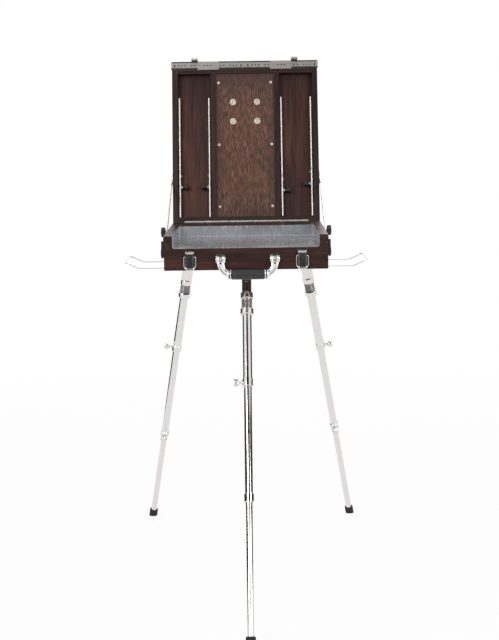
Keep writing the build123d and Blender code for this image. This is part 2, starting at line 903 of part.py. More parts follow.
def wire_clip(y):
    slot = loop_wire + free_gap
    x0 = loop_clip_x - loop_clip_length / 2
    x1 = loop_clip_x + loop_clip_length / 2
    half = loop_clip_half_width
    clip = block(x0, x1, y - half, y + half, loop_height - slot - loop_clip_wall,
                 bottom_recess)
    return clip - across(x0, x1, y, loop_height, slot)


# Lid stays

def stay_pivot():
    local = Vector(0, stay_lid_height, -stay_lid_depth)
    turn = math.radians(90 - lean)
    y = hinge_y + local.Y * math.cos(turn) - local.Z * math.sin(turn)
    z = hinge_z + local.Y * math.sin(turn) + local.Z * math.cos(turn)
    return Vector(0, y, z)


def stay_reach():
    pivot = stay_pivot()
    return Vector(0, stay_bolt_y - pivot.Y, stay_bolt_height - pivot.Z)


def stay():
    # Drawn along -Y from its pivot on the lid, then tilted down to its bolt
    reach = stay_reach().length
    x0 = stay_x - stay_sheet / 2
    x1 = stay_x + stay_sheet / 2
    half = stay_half_width
    strap = block(x0, x1, -reach - stay_tip, 0, -half, half)
    ends = strap.edges().filter_by(Axis.X).group_by(Axis.Y)[0]
    strap = fillet(ends, half - seat_gap)
    clip_half = stay_clip_half_width
    clip = block(x0, x1, -stay_clip_length, 0, -clip_half, clip_half)
    clip += across(x0, x1, 0, 0, clip_half)
    strap += clip
    strap -= across(x0, x1, 0, 0, stay_stud_radius + running_gap)
    notch_half = stay_bolt_radius + stay_notch_gap
    strap -= across(x0, x1, -reach, 0, notch_half)
    notch = block(x0, x1, -notch_half, notch_half, -4 * half, 0)
    strap -= Pos(0, -reach, 0) * Rot(stay_notch_lean, 0, 0) * notch
    return strap


def on_stay(shape):
    pivot = stay_pivot()
    reach = stay_reach()
    tilt = math.degrees(math.atan2(-reach.Z, -reach.Y))
    return Pos(0, pivot.Y, pivot.Z) * Rot(tilt, 0, 0) * shape


def stay_knob():
    y = stay_bolt_y
    z = stay_bolt_height
    strap_inner = stay_x - stay_sheet / 2
    strap_outer = stay_x + stay_sheet / 2
    bolt = across(half_width - stay_bolt_grip, stay_knob_inner, y, z, stay_bolt_radius)
    bolt += across(half_width + free_gap, strap_inner - free_gap, y, z, stay_washer_radius)
    bolt += across(strap_outer + free_gap, stay_knob_inner, y, z, stay_washer_radius)
    outer = stay_knob_inner + stay_knob_length
    knob = across(stay_knob_inner, outer, y, z, stay_knob_radius)
    for i in range(stay_knob_lobes):
        turn = math.radians(i * 360 / stay_knob_lobes)
        lobe_y = y + stay_knob_radius * math.cos(turn)
        lobe_z = z + stay_knob_radius * math.sin(turn)
        knob += across(stay_knob_inner, outer, lobe_y, lobe_z, stay_knob_lobe)
    return [bolt, knob]


# Legs, drawn hanging straight down from the pivot

def down(s0, s1, radius):
    return round_bar((0, 0, -s0), (0, 0, -s1), radius)


def hollow_down(s0, s1, radius, bore):
    return down(s0, s1, radius) - down(s0, s1, bore)


def leg_eye(width):
    return extrude(Plane.YZ * Circle(head_radius), width / 2, both=True)


def front_head():
    # Below the eye, and clear of the bracket's cheeks, stand two round columns with a web
    half = front_head_width / 2 - seat_gap
    start = cheek_radius + seat_gap
    head = block(-half, half, -front_web / 2, front_web / 2, -head_end, 0)
    head += block(-half, half, -front_neck / 2, front_neck / 2, -start - front_web, 0)
    for x in (-front_column_out, front_column_out):
        head += Pos(x, 0, 0) * down(start, head_end, front_column_radius)
    head += leg_eye(front_head_width)
    bore = leg_pin_radius + running_gap
    return head - across(-front_head_width, front_head_width, 0, 0, bore)


def rear_head():
    width = rear_head_width
    end_width = rear_head_end_width
    slab = leg_eye(width)
    slab += block(-width / 2, width / 2, -head_radius, head_radius, -head_end, 0)
    with BuildSketch(Plane.XZ) as taper:
        with BuildLine():
            Polyline((-width / 2, head_radius), (width / 2, head_radius), (width / 2, 0),
                     (end_width / 2, -head_end), (-end_width / 2, -head_end),
                     (-width / 2, 0), close=True)
        make_face()
    slab = slab & extrude(taper.sketch, 2 * head_radius, both=True)
    return slab - across(-width, width, 0, 0, leg_pin_radius + running_gap)


def leg_ring(sizes):
    start, end, radius = sizes
    ring = down(start, end, radius)
    ring = chamfer(ring.edges().filter_by(GeomType.CIRCLE), ring_chamfer)
    return ring - down(start, end, neck_radius)


def spring_spot(turn):
    rise = spring_pitch * spring_turns
    start = upper_ring[1] + (lower_ring[0] - upper_ring[1] - rise) / 2
    angle = 2 * math.pi * turn
    return Vector(spring_radius * math.cos(angle), spring_radius * math.sin(angle),
                  -start - spring_pitch * turn)


def spring_way(turn):
    angle = 2 * math.pi * turn
    round_once = 2 * math.pi * spring_radius
    return Vector(-round_once * math.sin(angle), round_once * math.cos(angle),
                  -spring_pitch).normalized()


def leg_spring():
    # Two arcs for each quarter of a turn, with a straight tail at each end
    first = spring_spot(0)
    edges = [Line(first - spring_way(0) * spring_tail, first)]
    for quarter in range(4 * spring_turns):
        a = quarter / 4
        b = (quarter + 1) / 4
        chord = spring_spot(b) - spring_spot(a)
        bend = 2 * (1 - spring_way(a).dot(spring_way(b)))
        along = chord.dot(spring_way(a) + spring_way(b))
        arm = (math.sqrt(along ** 2 + bend * chord.dot(chord)) - along) / bend
        near = spring_spot(a) + spring_way(a) * arm
        far = spring_spot(b) - spring_way(b) * arm
        middle = TangentArc(spring_spot(a), (near + far) / 2, tangent=spring_way(a))
        edges.append(middle)
        edges.append(TangentArc((near + far) / 2, spring_spot(b), tangent=middle % 1))
    last = spring_spot(spring_turns)
    edges.append(Line(last, last + spring_way(spring_turns) * spring_tail))
    path = Wire(edges)
    begin = Plane(origin=path @ 0, z_dir=path % 0)
    return sweep(begin * Circle(spring_wire), path=path), path


def spring_stops():
    # A square lug on each ring, which the wire's end meets face to face
    width, height, length = spring_stop
    stops = []
    for turn, outward_way, ring_side in ((0, -1, 1), (spring_turns, 1, -1)):
        direction = spring_way(turn) * outward_way
        origin = spring_spot(turn) + direction * spring_tail
        outward = Vector(origin.X, origin.Y, 0).normalized()
        plane = Plane(origin=origin, x_dir=outward, z_dir=direction)
        toward_ring = 1 if plane.y_dir.Z * ring_side > 0 else -1
        shift = toward_ring * spring_stop_shift
        lug = Pos(-spring_stop_lean, shift, length / 2) * Box(width, height, length)
        stops.append(plane * lug)
    return stops


def cross_hole(s, direction, r0, r1, radius):
    x, y = direction
    return round_bar((x * r0, y * r0, -s), (x * r1, y * r1, -s), radius)


def leg_upper(name):
    head = front_head() if name == "front" else rear_head()
    top_stop, low_stop = spring_stops()
    ring_one = leg_ring(upper_ring) + top_stop
    ring_two = leg_ring(lower_ring) + low_stop
    bore = middle_tube_radius + free_gap
    tube = down(head_end, lower_ring[1], neck_radius)
    tube += down(lower_ring[1], upper_tube_end, upper_tube_radius)
    tube -= down(tube_bore_start, upper_tube_end, bore)
    low = first_collar + collar_length / 2
    collar = down(first_collar - collar_length / 2, low, first_collar_radius)
    collar = chamfer(collar.edges().filter_by(GeomType.CIRCLE), collar_chamfer)
    collar -= down(first_collar - collar_length / 2, upper_tube_end, upper_tube_radius)
    collar -= down(upper_tube_end, low, bore)
    hole = cross_hole(first_collar, first_screws[name], screw_radius, screw_neck,
                      screw_radius + running_gap)
    return [head, ring_one, ring_two, tube - hole, collar - hole]


def leg_middle(name):
    middle = second_collars[name]
    low = middle + collar_length / 2
    top = low - middle_tube_length
    bore = lower_tube_radius + free_gap
    tube_low = low - collar_lip
    tube = hollow_down(top, tube_low, middle_tube_radius, bore)
    collar = down(middle - collar_length / 2, low, second_collar_radius)
    collar = chamfer(collar.edges().filter_by(GeomType.CIRCLE), collar_chamfer)
    collar -= down(middle - collar_length / 2, tube_low, middle_tube_radius)
    collar -= down(tube_low, low, bore)
    hole = cross_hole(middle, second_screws[name], screw_radius, screw_neck,
                      screw_radius + running_gap)
    return [tube - hole, collar - hole]


def leg_lower():
    end = foot_top + foot_bore_depth
    return hollow_down(end - lower_tube_length, end, lower_tube_radius,
                       lower_tube_radius - lower_tube_wall)


def leg_foot(name):
    foot = down(foot_top, leg_reach + 2 * foot_radius, foot_radius)
    foot = chamfer(foot.edges().filter_by(GeomType.CIRCLE).group_by(Axis.Z)[-1],
                   foot_chamfer)
    foot -= down(foot_top, foot_top + foot_bore_depth, lower_tube_radius)
    far = 2 * leg_reach
    floor = block(-far, far, -far, far, -stand_height - far, -stand_height)
    return (leg_places[name] * foot) - floor


def thumb_screw(s, direction, tube_radius):
    tip = tube_radius + screw_tip_gap
    stem = cross_hole(s, direction, tip, screw_end, screw_radius)
    head = cross_hole(s, direction, screw_neck, screw_end, screw_head_radius)
    head = chamfer(head.edges().filter_by(GeomType.CIRCLE), screw_head_chamfer)
    return stem + head


def leg_bracket(name):
    front = name == "front"
    head_width = front_head_width if front else rear_head_width
    inner = head_width / 2 + free_gap
    outer = inner + cheek_thickness
    rise = pivot_drop + bottom_recess + cheek_radius
    parts = []
    for side in (-1, 1):
        ends = sorted((side * inner, side * outer))
        cheek = block(ends[0], ends[1], -cheek_radius, cheek_radius, 0, rise)
        cheek += across(ends[0], ends[1], 0, 0, cheek_radius)
        parts.append(cheek)
    cheeks = parts[0] + parts[1] - across(-outer, outer, 0, 0, leg_pin_radius)
    pin = across(-outer, outer, 0, 0, leg_pin_radius)
    for side in (-1, 1):
        ends = sorted((side * outer, side * (outer + leg_pin_head_rise)))
        pin += across(ends[0], ends[1], 0, 0, leg_pin_head)
    place = bracket_places[name]
    x, y, z = place.position
    reach = outer + foot_plate_overlap
    low = bottom_recess - foot_plate_thickness
    x0 = max(x - reach, foot_plate_inset - inner_half)
    x1 = min(x + reach, inner_half - foot_plate_inset)
    plate = block(x0, x1, y - foot_plate_half_depth, y + foot_plate_half_depth, low,
                  bottom_recess)
    above = block(-half_width, half_width, 0, box_depth, bottom_recess, bottom_recess + rise)
    frame = (place * cheeks) - above + plate
    return [frame, place * pin]


rear_left_cant = Rot(0, rear_cant, 0)
rear_right_cant = Rot(0, -rear_cant, 0)
bracket_places = {
    "front": Pos(0, front_pivot_y, -pivot_drop),
    "rear_left": Pos(-rear_pivot_x, rear_pivot_y, -pivot_drop) * rear_left_cant,
    "rear_right": Pos(rear_pivot_x, rear_pivot_y, -pivot_drop) * rear_right_cant,
}
leg_places = {
    "front": bracket_places["front"] * Rot(-front_tilt, 0, 0),
    "rear_left": bracket_places["rear_left"] * Rot(rear_tilt, 0, 0),
    "rear_right": bracket_places["rear_right"] * Rot(rear_tilt, 0, 0),
}
first_screws = {"front": (-1, 0), "rear_left": (-1, 0), "rear_right": (1, 0)}
second_screws = {"front": (0, 1), "rear_left": (0, -1), "rear_right": (0, -1)}


# Every node with its solids, in the box's frame

pieces = {}
for word, side in sides.items():
    pieces["side_panel_" + word] = [sided(side_panel(), side)]
pieces["front_panel"] = [front_panel()]
pieces["back_panel"] = [back_panel()]
pieces["bottom_panel"] = [bottom_panel()]
pieces["inner_woodwork"] = inner_woodwork()
pieces["tray"] = [tray()]
pieces["hinge_box_leaf"] = hinge_box_leaf()

front_fittings = []
underside_fittings = []
for side in (-1, 1):
    front_fittings += latch_plate(side * latch_x)
    front_fittings += handle_mount(handle_x + side * handle_pivot_half)
    front_fittings.append(sided(lug_bracket(), side))
    front_fittings.append(small_screw(side * front_screw_x, front_screw_height,
                                      front_screw_radius))
    front_fittings.append(small_screw(side * post_screw_x, box_height - post_screw_drop,
                                      post_screw_radius))
    for y in (loop_near, loop_far):
        underside_fittings.append(sided(wire_clip(y), side))
for name in bracket_places:
    underside_fittings += leg_bracket(name)
pieces["front_fittings"] = front_fittings
pieces["underside_fittings"] = underside_fittings

lid_pieces = {
    "lid_frame": lid_frame(),
    "lid_back_panel": [lid_back_panel()],
    "lid_center_panel": [lid_center_panel()],
    "hinge_lid_leaf": [hinge_lid_leaf()],
    "panel_screws": panel_screws(),
    "mount_plate": mount_plate(),
    "bar_track": [track()],
    "guide_rods": guide_rods(),
    "lid_fittings": lid_fittings(),
    "slide_bar_left": [sided(slide_bar(), -1)],
    "slide_bar_right": [slide_bar()],
}
for number, (x, up) in enumerate(zip(rod_places(), clamp_heights), 1):
    inward = 1 if number in (1, 3) else -1
    lid_pieces["panel_clamp_" + str(number)] = panel_clamp(x, inward, up)
for node, shapes in lid_pieces.items():
    pieces[node] = [lid_place * shape for shape in shapes]

for word, side in sides.items():
    pieces["stay_" + word] = [sided(on_stay(stay()), side)]
    pieces["stay_knob_" + word] = [sided(shape, side) for shape in stay_knob()]
    pieces["latch_lever_" + word] = latch_lever(side * latch_x)
    pieces["latch_bail_" + word] = [latch_bail(side * latch_x)]
    pieces["side_loop_" + word] = [sided(side_loop(), side)]
    pieces["strap_lug_" + word] = [sided(strap_lug(), side)]
pieces["handle_arms"] = [on_handle(handle_arm(-1)), on_handle(handle_arm(1))]
pieces["handle_grip"] = [on_handle(handle_grip())]

spring, spring_line = leg_spring()
for name, place in leg_places.items():
    pieces["leg_upper_" + name] = [place * shape for shape in leg_upper(name)]
    pieces["leg_spring_" + name] = [place * spring]
    pieces["leg_middle_" + name] = [place * shape for shape in leg_middle(name)]
    pieces["leg_lower_" + name] = [place * leg_lower()]
    pieces["leg_foot_" + name] = [leg_foot(name)]
    first = thumb_screw(first_collar, first_screws[name], middle_tube_radius)
    second = thumb_screw(second_collars[name], second_screws[name], lower_tube_radius)
    pieces["thumb_screw_" + name + "_1"] = [place * first]
    pieces["thumb_screw_" + name + "_2"] = [place * second]

# Stand the easel on the floor, with the middle of its feet over the origin
front_edge = pieces["leg_foot_front"][0].bounding_box().min.Y
rear_edge = pieces["leg_foot_rear_left"][0].bounding_box().max.Y
stand = Pos(0, -(front_edge + rear_edge) / 2, stand_height)

os.makedirs("parts", exist_ok=True)
for node, shapes in pieces.items():
    solids = []
    for shape in shapes:
        solids += (stand * shape).solids()
    export_step(Compound(solids), "parts/" + node + ".step")


# The spring's least gap to itself, and its volume against its section times its length

count = 1200
samples = [spring_line @ (i / count) for i in range(count + 1)]
half_turn = int(math.pi * spring_radius * count / spring_line.length)
least = min(
    (samples[i] - samples[j]).length
    for i in range(len(samples))
    for j in range(i + half_turn, min(len(samples), i + 4 * half_turn))
)
print("spring gap to itself", round(least - 2 * spring_wire, 3))
ideal = math.pi * spring_wire ** 2 * spring_line.length
print("spring volume share", round(spring.volume / ideal, 4))
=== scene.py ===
import math
import bpy
import bmesh
from mathutils import Matrix, Vector


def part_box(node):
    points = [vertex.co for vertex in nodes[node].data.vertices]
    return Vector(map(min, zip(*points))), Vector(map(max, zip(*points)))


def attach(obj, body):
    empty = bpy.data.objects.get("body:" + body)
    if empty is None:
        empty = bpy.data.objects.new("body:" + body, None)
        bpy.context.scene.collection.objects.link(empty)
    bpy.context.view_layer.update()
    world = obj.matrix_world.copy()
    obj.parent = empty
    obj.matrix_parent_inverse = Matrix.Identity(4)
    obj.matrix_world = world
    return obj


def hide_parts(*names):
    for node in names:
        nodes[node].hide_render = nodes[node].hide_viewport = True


# The look of a french easel: a walnut sketch box on three telescopic chrome legs.
# Lengths here are in millimetres and become metres where a mesh or a lamp is made.

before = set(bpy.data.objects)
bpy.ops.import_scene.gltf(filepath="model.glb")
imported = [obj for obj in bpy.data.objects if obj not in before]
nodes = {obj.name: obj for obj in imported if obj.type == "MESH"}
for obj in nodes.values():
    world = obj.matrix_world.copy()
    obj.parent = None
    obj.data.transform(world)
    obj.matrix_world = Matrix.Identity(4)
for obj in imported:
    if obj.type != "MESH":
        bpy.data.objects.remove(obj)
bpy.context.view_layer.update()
scene = bpy.context.scene
mm = 0.001

# Places that the CAD sets

panel_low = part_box("side_panel_left")[0]
box_origin = Vector((0, panel_low.y, panel_low.z)) / mm
box_place = Matrix.Translation(box_origin)
hinge = Vector((0, 449.3, 85.3))
lid_lean = 15.0
lid_place = box_place @ Matrix.Translation(hinge) @ Matrix.Rotation(
    math.radians(90 - lid_lean), 4, "X")
half_width = 200.0
stile_width = 15.0
bottom_rail_top = 13.8
top_rail_bottom = 415.0
divider_inner = 81.0
divider_outer = 94.3

pivot_drop = 20.0
front_tilt = 28.38
rear_tilt = 26.72
rear_cant = 9.95
leg_data = {
    "front": ((0, 83.0), 0.0, -front_tilt),
    "rear_left": ((-156.4, 389.4), rear_cant, rear_tilt),
    "rear_right": ((156.4, 389.4), -rear_cant, rear_tilt),
}
first_screw_turn = {"front": 180, "rear_left": 180, "rear_right": 0}
second_screw_turn = {"front": 90, "rear_left": -90, "rear_right": -90}
first_collar = 284.0
second_collars = {"front": 570.0, "rear_left": 596.0, "rear_right": 575.0}


def leg_place(name):
    """A leg's own frame: its origin on the fold's axis, its tubes down its Z axis."""
    (x, y), cant, tilt = leg_data[name]
    return (box_place @ Matrix.Translation((x, y, -pivot_drop))
            @ Matrix.Rotation(math.radians(cant), 4, "Y")
            @ Matrix.Rotation(math.radians(tilt), 4, "X"))


# Shader building

def linear(value):
    share = value / 255
    return share / 12.92 if share <= 0.04045 else ((share + 0.055) / 1.055) ** 2.4


def tint(red, green, blue):
    return (linear(red), linear(green), linear(blue), 1.0)


class Finish:
    """A material with a Principled shader and short calls for the nodes that feed it."""

    def __init__(self, name, **uniform):
        self.material = bpy.data.materials.new(name)
        self.material.use_nodes = True
        self.tree = self.material.node_tree
        self.shader = self.tree.nodes["Principled BSDF"]
        for key, value in uniform.items():
            self.shader.inputs[key.replace("_", " ")].default_value = value

    def node(self, kind, inputs, **settings):
        made = self.tree.nodes.new(kind)
        for key, value in settings.items():
            setattr(made, key, value)
        for key, value in inputs.items():
            if isinstance(value, bpy.types.NodeSocket):
                self.tree.links.new(value, made.inputs[key])
            else:
                made.inputs[key].default_value = value
        return made

    def math(self, operation, first, second=0.0):
        return self.node("ShaderNodeMath", {0: first, 1: second},
                         operation=operation).outputs[0]

    def place(self):
        return self.node("ShaderNodeTexCoord", {}).outputs["Object"]

    def lid_place(self):
        shifted = self.node("ShaderNodeVectorMath", {0: self.place(), 1: lid_place.translation * mm},
                            operation="SUBTRACT").outputs[0]
        turn = (-math.radians(90 - lid_lean), 0, 0)
        return self.node("ShaderNodeMapping", {"Vector": shifted, "Rotation": turn}).outputs[0]

    def split(self, vector):
        return self.node("ShaderNodeSeparateXYZ", {0: vector}).outputs

    def join(self, x, y, z):
        return self.node("ShaderNodeCombineXYZ", {0: x, 1: y, 2: z}).outputs[0]

    def scaled(self, vector, scale, turn=(0, 0, 0)):
        return self.node("ShaderNodeMapping",
                         {"Vector": vector, "Scale": scale, "Rotation": turn}).outputs[0]

    def noise(self, vector, detail=3.0, rough=0.55, distortion=0.0, scale=1.0):
        made = self.node("ShaderNodeTexNoise",
                         {"Vector": vector, "Scale": scale, "Detail": detail,
                          "Roughness": rough, "Distortion": distortion})
        return made.outputs["Fac"]

    def ramp(self, factor, *stops):
        made = self.node("ShaderNodeValToRGB", {0: factor})
        points = made.color_ramp.elements
        while len(points) < len(stops):
            points.new(0.5)
        for point, (spot, colour) in zip(points, stops):
            point.position = spot
            point.color = colour if len(colour) == 4 else (*colour, 1.0)
        return made.outputs[0]

    def span(self, value, from_low, from_high, to_low, to_high):
        made = self.node("ShaderNodeMapRange",
                         {"Value": value, "From Min": from_low, "From Max": from_high,
                          "To Min": to_low, "To Max": to_high})
        return made.outputs[0]

    def mix(self, factor, first, second, way="MIX"):
        made = self.node("ShaderNodeMix", {0: factor, 6: first, 7: second},
                         data_type="RGBA", blend_type=way)
        return made.outputs[2]

    def mix_vector(self, factor, first, second):
        made = self.node("ShaderNodeMix", {0: factor, 4: first, 5: second}, data_type="VECTOR")
        return made.outputs[1]

    def colour(self, socket):
        self.tree.links.new(socket, self.shader.inputs["Base Color"])

    def roughness(self, socket):
        self.tree.links.new(socket, self.shader.inputs["Roughness"])

    def metallic(self, socket):
        self.tree.links.new(socket, self.shader.inputs["Metallic"])

    def bump(self, height, strength, distance):
        made = self.node("ShaderNodeBump",
                         {"Height": height, "Strength": strength, "Distance": distance * mm})
        self.tree.links.new(made.outputs[0], self.shader.inputs["Normal"])


def wood(name, vector_of, dark, middle, light, blotch, shade_of=None):
    """Stained walnut. vector_of gives a place whose third number runs along the grain, and
    shade_of the share of a last, nearly black painted shade."""
    made = Finish(name, IOR=1.36)
    along = vector_of(made)
    figure = made.noise(made.scaled(along, (30, 30, 2.6)), 5, 0.6, 0.5)
    streak = made.noise(made.scaled(along, (210, 210, 8)), 4, 0.6)
    pores = made.noise(made.scaled(along, (900, 900, 38)), 2, 0.5)
    patches = made.noise(made.scaled(along, (13, 13, 4.5)), 3, 0.5, 0.8)
    both = made.math("ADD", made.math("MULTIPLY", figure, 0.62),
                     made.math("MULTIPLY", streak, 0.38))
    grain = made.ramp(both, (0.36, dark), (0.5, middle), (0.64, light))
    patched = made.mix(made.span(patches, 0.5, 0.68, 0.0, 0.75), grain, blotch)
    pored = made.mix(made.span(pores, 0.56, 0.7, 0.0, 0.45), patched, dark)
    # Painted shade: a nearly black tint laid over the wood where shade_of says so.
    if shade_of:
        pored = made.mix(shade_of(made), pored, tint(24, 15, 14))
    made.colour(pored)
    made.roughness(made.span(streak, 0.3, 0.7, 0.3, 0.42))
    made.bump(made.math("ADD", made.math("MULTIPLY", pores, -0.6), streak), 0.2, 0.2)
    return made.material


def grain_x(made):
    x, y, z = made.split(made.place())
    return made.join(y, z, x)


def grain_y(made):
    x, y, z = made.split(made.place())
    return made.join(x, z, y)


def grain_lid(made):
    """Up the lid on its stiles and dividers, and across it on its two rails."""
    x, up, out = made.split(made.lid_place())
    inside = made.math("LESS_THAN", made.math("ABSOLUTE", x), (half_width - stile_width) * mm)
    low = made.math("LESS_THAN", up, bottom_rail_top * mm)
    high = made.math("GREATER_THAN", up, top_rail_bottom * mm)
    rail = made.math("MULTIPLY", inside, made.math("ADD", low, high))
    return made.mix_vector(rail, made.join(x, out, up), made.join(up, out, x))


def grain_lid_panel(made):
    x, up, out = made.split(made.lid_place())
    return made.join(x, out, up)


def top_rail_painted_shade(made):
    """Painted shade that darkens the lid's back panel towards its top rail."""
    x, up, out = made.split(made.lid_place())
    return made.span(up, 0.29, 0.415, 0.0, 0.55)


def fibre_board():
    """Rough fibre board with short wavy upright fibres, with painted shade and dust along its
    recessed edges.
    """
    made = Finish("fibre_board", IOR=1.4)
    x, up, out = made.split(made.lid_place())
    flat = made.join(x, up, out)
    sway = made.noise(made.scaled(flat, (26, 20, 20)), 3, 0.6)
    shift = made.math("MULTIPLY", made.math("SUBTRACT", sway, 0.5), 0.016)
    wavy = made.join(made.math("ADD", x, shift), up, out)
    fibre = made.noise(made.scaled(wavy, (330, 62, 330)), 5, 0.66, 0.5)
    fine = made.noise(made.scaled(wavy, (900, 210, 900)), 3, 0.6)
    tone = made.noise(made.scaled(flat, (16, 9, 9)), 3, 0.55)
    both = made.math("ADD", made.math("MULTIPLY", fibre, 0.75), made.math("MULTIPLY", fine, 0.25))
    base = made.ramp(both, (0.38, tint(46, 28, 22)), (0.5, tint(92, 60, 46)),
                     (0.62, tint(140, 98, 76)))
    toned = made.mix(made.span(tone, 0.35, 0.68, 0.55, 0.0), base, tint(66, 42, 34))
    # Painted shade and dust: the panel darkens along its sides, bottom and top, where it sits
    # recessed in the lid.
    side = made.span(made.math("ABSOLUTE", x), 0.05, divider_inner * mm, 0.0, 0.75)
    low = made.span(up, 0.06, 0.015, 0.0, 0.55)
    high = made.span(up, 0.33, 0.41, 0.0, 0.75)
    edge = made.math("MAXIMUM", side, made.math("MAXIMUM", low, high))
    made.colour(made.mix(edge, toned, tint(58, 38, 33)))
    made.roughness(made.span(fibre, 0.3, 0.7, 0.75, 0.55))
    made.bump(both, 0.55, 0.9)
    return made.material


def metal(name, colour, rough, spread, smudge=14.0):
    """Bare or plated metal with smudges and dull specks."""
    made = Finish(name, Metallic=1.0)
    place = made.place()
    smears = made.noise(made.scaled(place, (smudge,) * 3), 4, 0.6)
    specks = made.noise(made.scaled(place, (smudge * 18,) * 3), 2, 0.6)
    level = made.span(smears, 0.35, 0.7, rough, rough + spread)
    dull = tuple(part * 0.86 for part in colour[:3]) + (1.0,)
    made.colour(made.mix(made.span(specks, 0.4, 0.75, 0.0, 0.6), colour, dull))
    made.roughness(level)
    return made.material


def moulded(name, colour, worn, rough, grain=900.0, depth=0.12):
    """Moulded black plastic or rubber with a fine grain and pale worn patches."""
    made = Finish(name, IOR=1.48)
    place = made.place()
    wear = made.noise(made.scaled(place, (60, 60, 60)), 4, 0.65)
    fine = made.noise(made.scaled(place, (grain,) * 3), 2, 0.5)
    made.colour(made.mix(made.span(wear, 0.48, 0.78, 0.0, 1.0), colour, worn))
    made.roughness(made.span(wear, 0.3, 0.7, rough, rough + 0.14))
    made.bump(fine, 0.3, depth)
    return made.material


def banded(name, limit, inner, inner_metal, outer, outer_rough, inner_rough):
    """Metal in the middle of a node and black beyond a distance from the centre line; at the ends of
    the hinge leaf that black is painted shade.
    """
    made = Finish(name)
    place = made.place()
    x, y, z = made.split(place)
    beyond = made.math("GREATER_THAN", made.math("ABSOLUTE", x), limit * mm)
    smears = made.noise(made.scaled(place, (90, 90, 90)), 3, 0.6)
    pale = made.mix(made.span(smears, 0.4, 0.75, 0.0, 0.5), inner, outer)
    made.colour(made.mix(beyond, pale, outer))
    made.metallic(made.math("MULTIPLY", made.math("SUBTRACT", 1.0, beyond), inner_metal))
    level = made.span(beyond, 0.0, 1.0, inner_rough, outer_rough)
    made.roughness(made.math("ADD", level, made.math("MULTIPLY", smears, 0.12)))
    return made.material


def tray_sheet():
    """Bright rolled sheet with fine scratches in several directions and a cloudy bloom."""
    made = Finish("tray_sheet", Metallic=0.6)
    place = made.place()
    cloud = made.noise(made.scaled(place, (9, 9, 9)), 5, 0.62, 0.6)
    scratch = None
    for number, (turn, low) in enumerate(((14, 0.66), (67, 0.69), (-38, 0.7), (-81, 0.68))):
        lines = made.noise(made.scaled(place, (760, 7.5, 40), (0, 0, math.radians(turn))),
                           2, 0.5, 0.15 + 0.05 * number)
        thin = made.span(lines, low, low + 0.05, 0.0, 1.0)
        scratch = thin if scratch is None else made.math("MAXIMUM", scratch, thin)
    base = made.ramp(cloud, (0.3, tint(150, 151, 156)), (0.7, tint(176, 177, 182)))
    made.colour(made.mix(made.math("MULTIPLY", scratch, 0.7), base, tint(226, 226, 229)))
    level = made.span(cloud, 0.3, 0.7, 0.2, 0.34)
    made.roughness(made.math("ADD", level, made.math("MULTIPLY", scratch, 0.2)))
    made.bump(made.math("MULTIPLY", scratch, -0.5), 0.12, 0.1)
    return made.material


walnut_tones = (tint(25, 13, 11), tint(47, 26, 22), tint(70, 39, 31))
finishes = {
    "walnut_x": wood("walnut_x", grain_x, *walnut_tones, tint(60, 31, 25)),
    "walnut_y": wood("walnut_y", grain_y, *walnut_tones, tint(60, 31, 25)),
    "walnut_lid": wood("walnut_lid", grain_lid, tint(22, 14, 13), tint(38, 24, 22),
                       tint(56, 34, 29), tint(50, 29, 25)),
    "walnut_panel": wood("walnut_panel", grain_lid_panel, tint(38, 21, 18), tint(66, 37, 30),
                         tint(84, 48, 38), tint(40, 23, 20), top_rail_painted_shade),
    "fibre_board": fibre_board(),
    "chrome_fitting": metal("chrome_fitting", tint(232, 231, 229), 0.1, 0.12),
    "chrome_leg": metal("chrome_leg", tint(228, 225, 222), 0.09, 0.09, 9.0),
    "satin_steel": metal("satin_steel", tint(200, 197, 193), 0.34, 0.12),
    "rod_steel": metal("rod_steel", tint(214, 210, 205), 0.46, 0.1, 30.0),
    "clamp_steel": metal("clamp_steel", tint(170, 168, 166), 0.26, 0.14, 40.0),
    "wire_chrome": metal("wire_chrome", tint(226, 224, 226), 0.1, 0.1, 20.0),
    "spring_steel": metal("spring_steel", tint(170, 168, 166), 0.24, 0.12, 50.0),
    "chrome_screw": metal("chrome_screw", tint(226, 224, 220), 0.12, 0.14, 40.0),
    "tray_sheet": tray_sheet(),
    "black_grip": moulded("black_grip", tint(30, 31, 33), tint(50, 51, 53), 0.34, 500.0, 0.2),
    "black_plastic": moulded("black_plastic", tint(20, 20, 21), tint(40, 40, 41), 0.36),
    "rubber_foot": moulded("rubber_foot", tint(22, 22, 22), tint(42, 40, 38), 0.62),
    # The black ends of the hinge leaf are painted shade.
    "hinge_steel": banded("hinge_steel", 169.0, tint(206, 203, 200), 1.0, tint(24, 23, 23),
                          0.5, 0.22),
    "front_metal": banded("front_metal", 199.7, tint(226, 225, 222), 1.0, tint(22, 22, 23),
                          0.36, 0.1),
}


groove_low = 432.4
groove_high = 446.5
sleeve_x = 100.0
sleeve_half = 29.4
sleeve_back = -1.2


def edge_groove_shade(made, x, up, out):
    """Painted shade in the groove along each long edge of the sliding bar."""
    return made.math("MAXIMUM", made.math("LESS_THAN", up, groove_low * mm),
                     made.math("GREATER_THAN", up, groove_high * mm))


def track_shade(made, x, up, out):
    """Painted shade over all of the track but the fronts of its two sleeves."""
    beside = made.math("ABSOLUTE", made.math("SUBTRACT", made.math("ABSOLUTE", x), sleeve_x * mm))
    cover = made.math("LESS_THAN", beside, sleeve_half * mm)
    front = made.math("GREATER_THAN", out, sleeve_back * mm)
    return made.math("SUBTRACT", 1.0, made.math("MULTIPLY", cover, front))


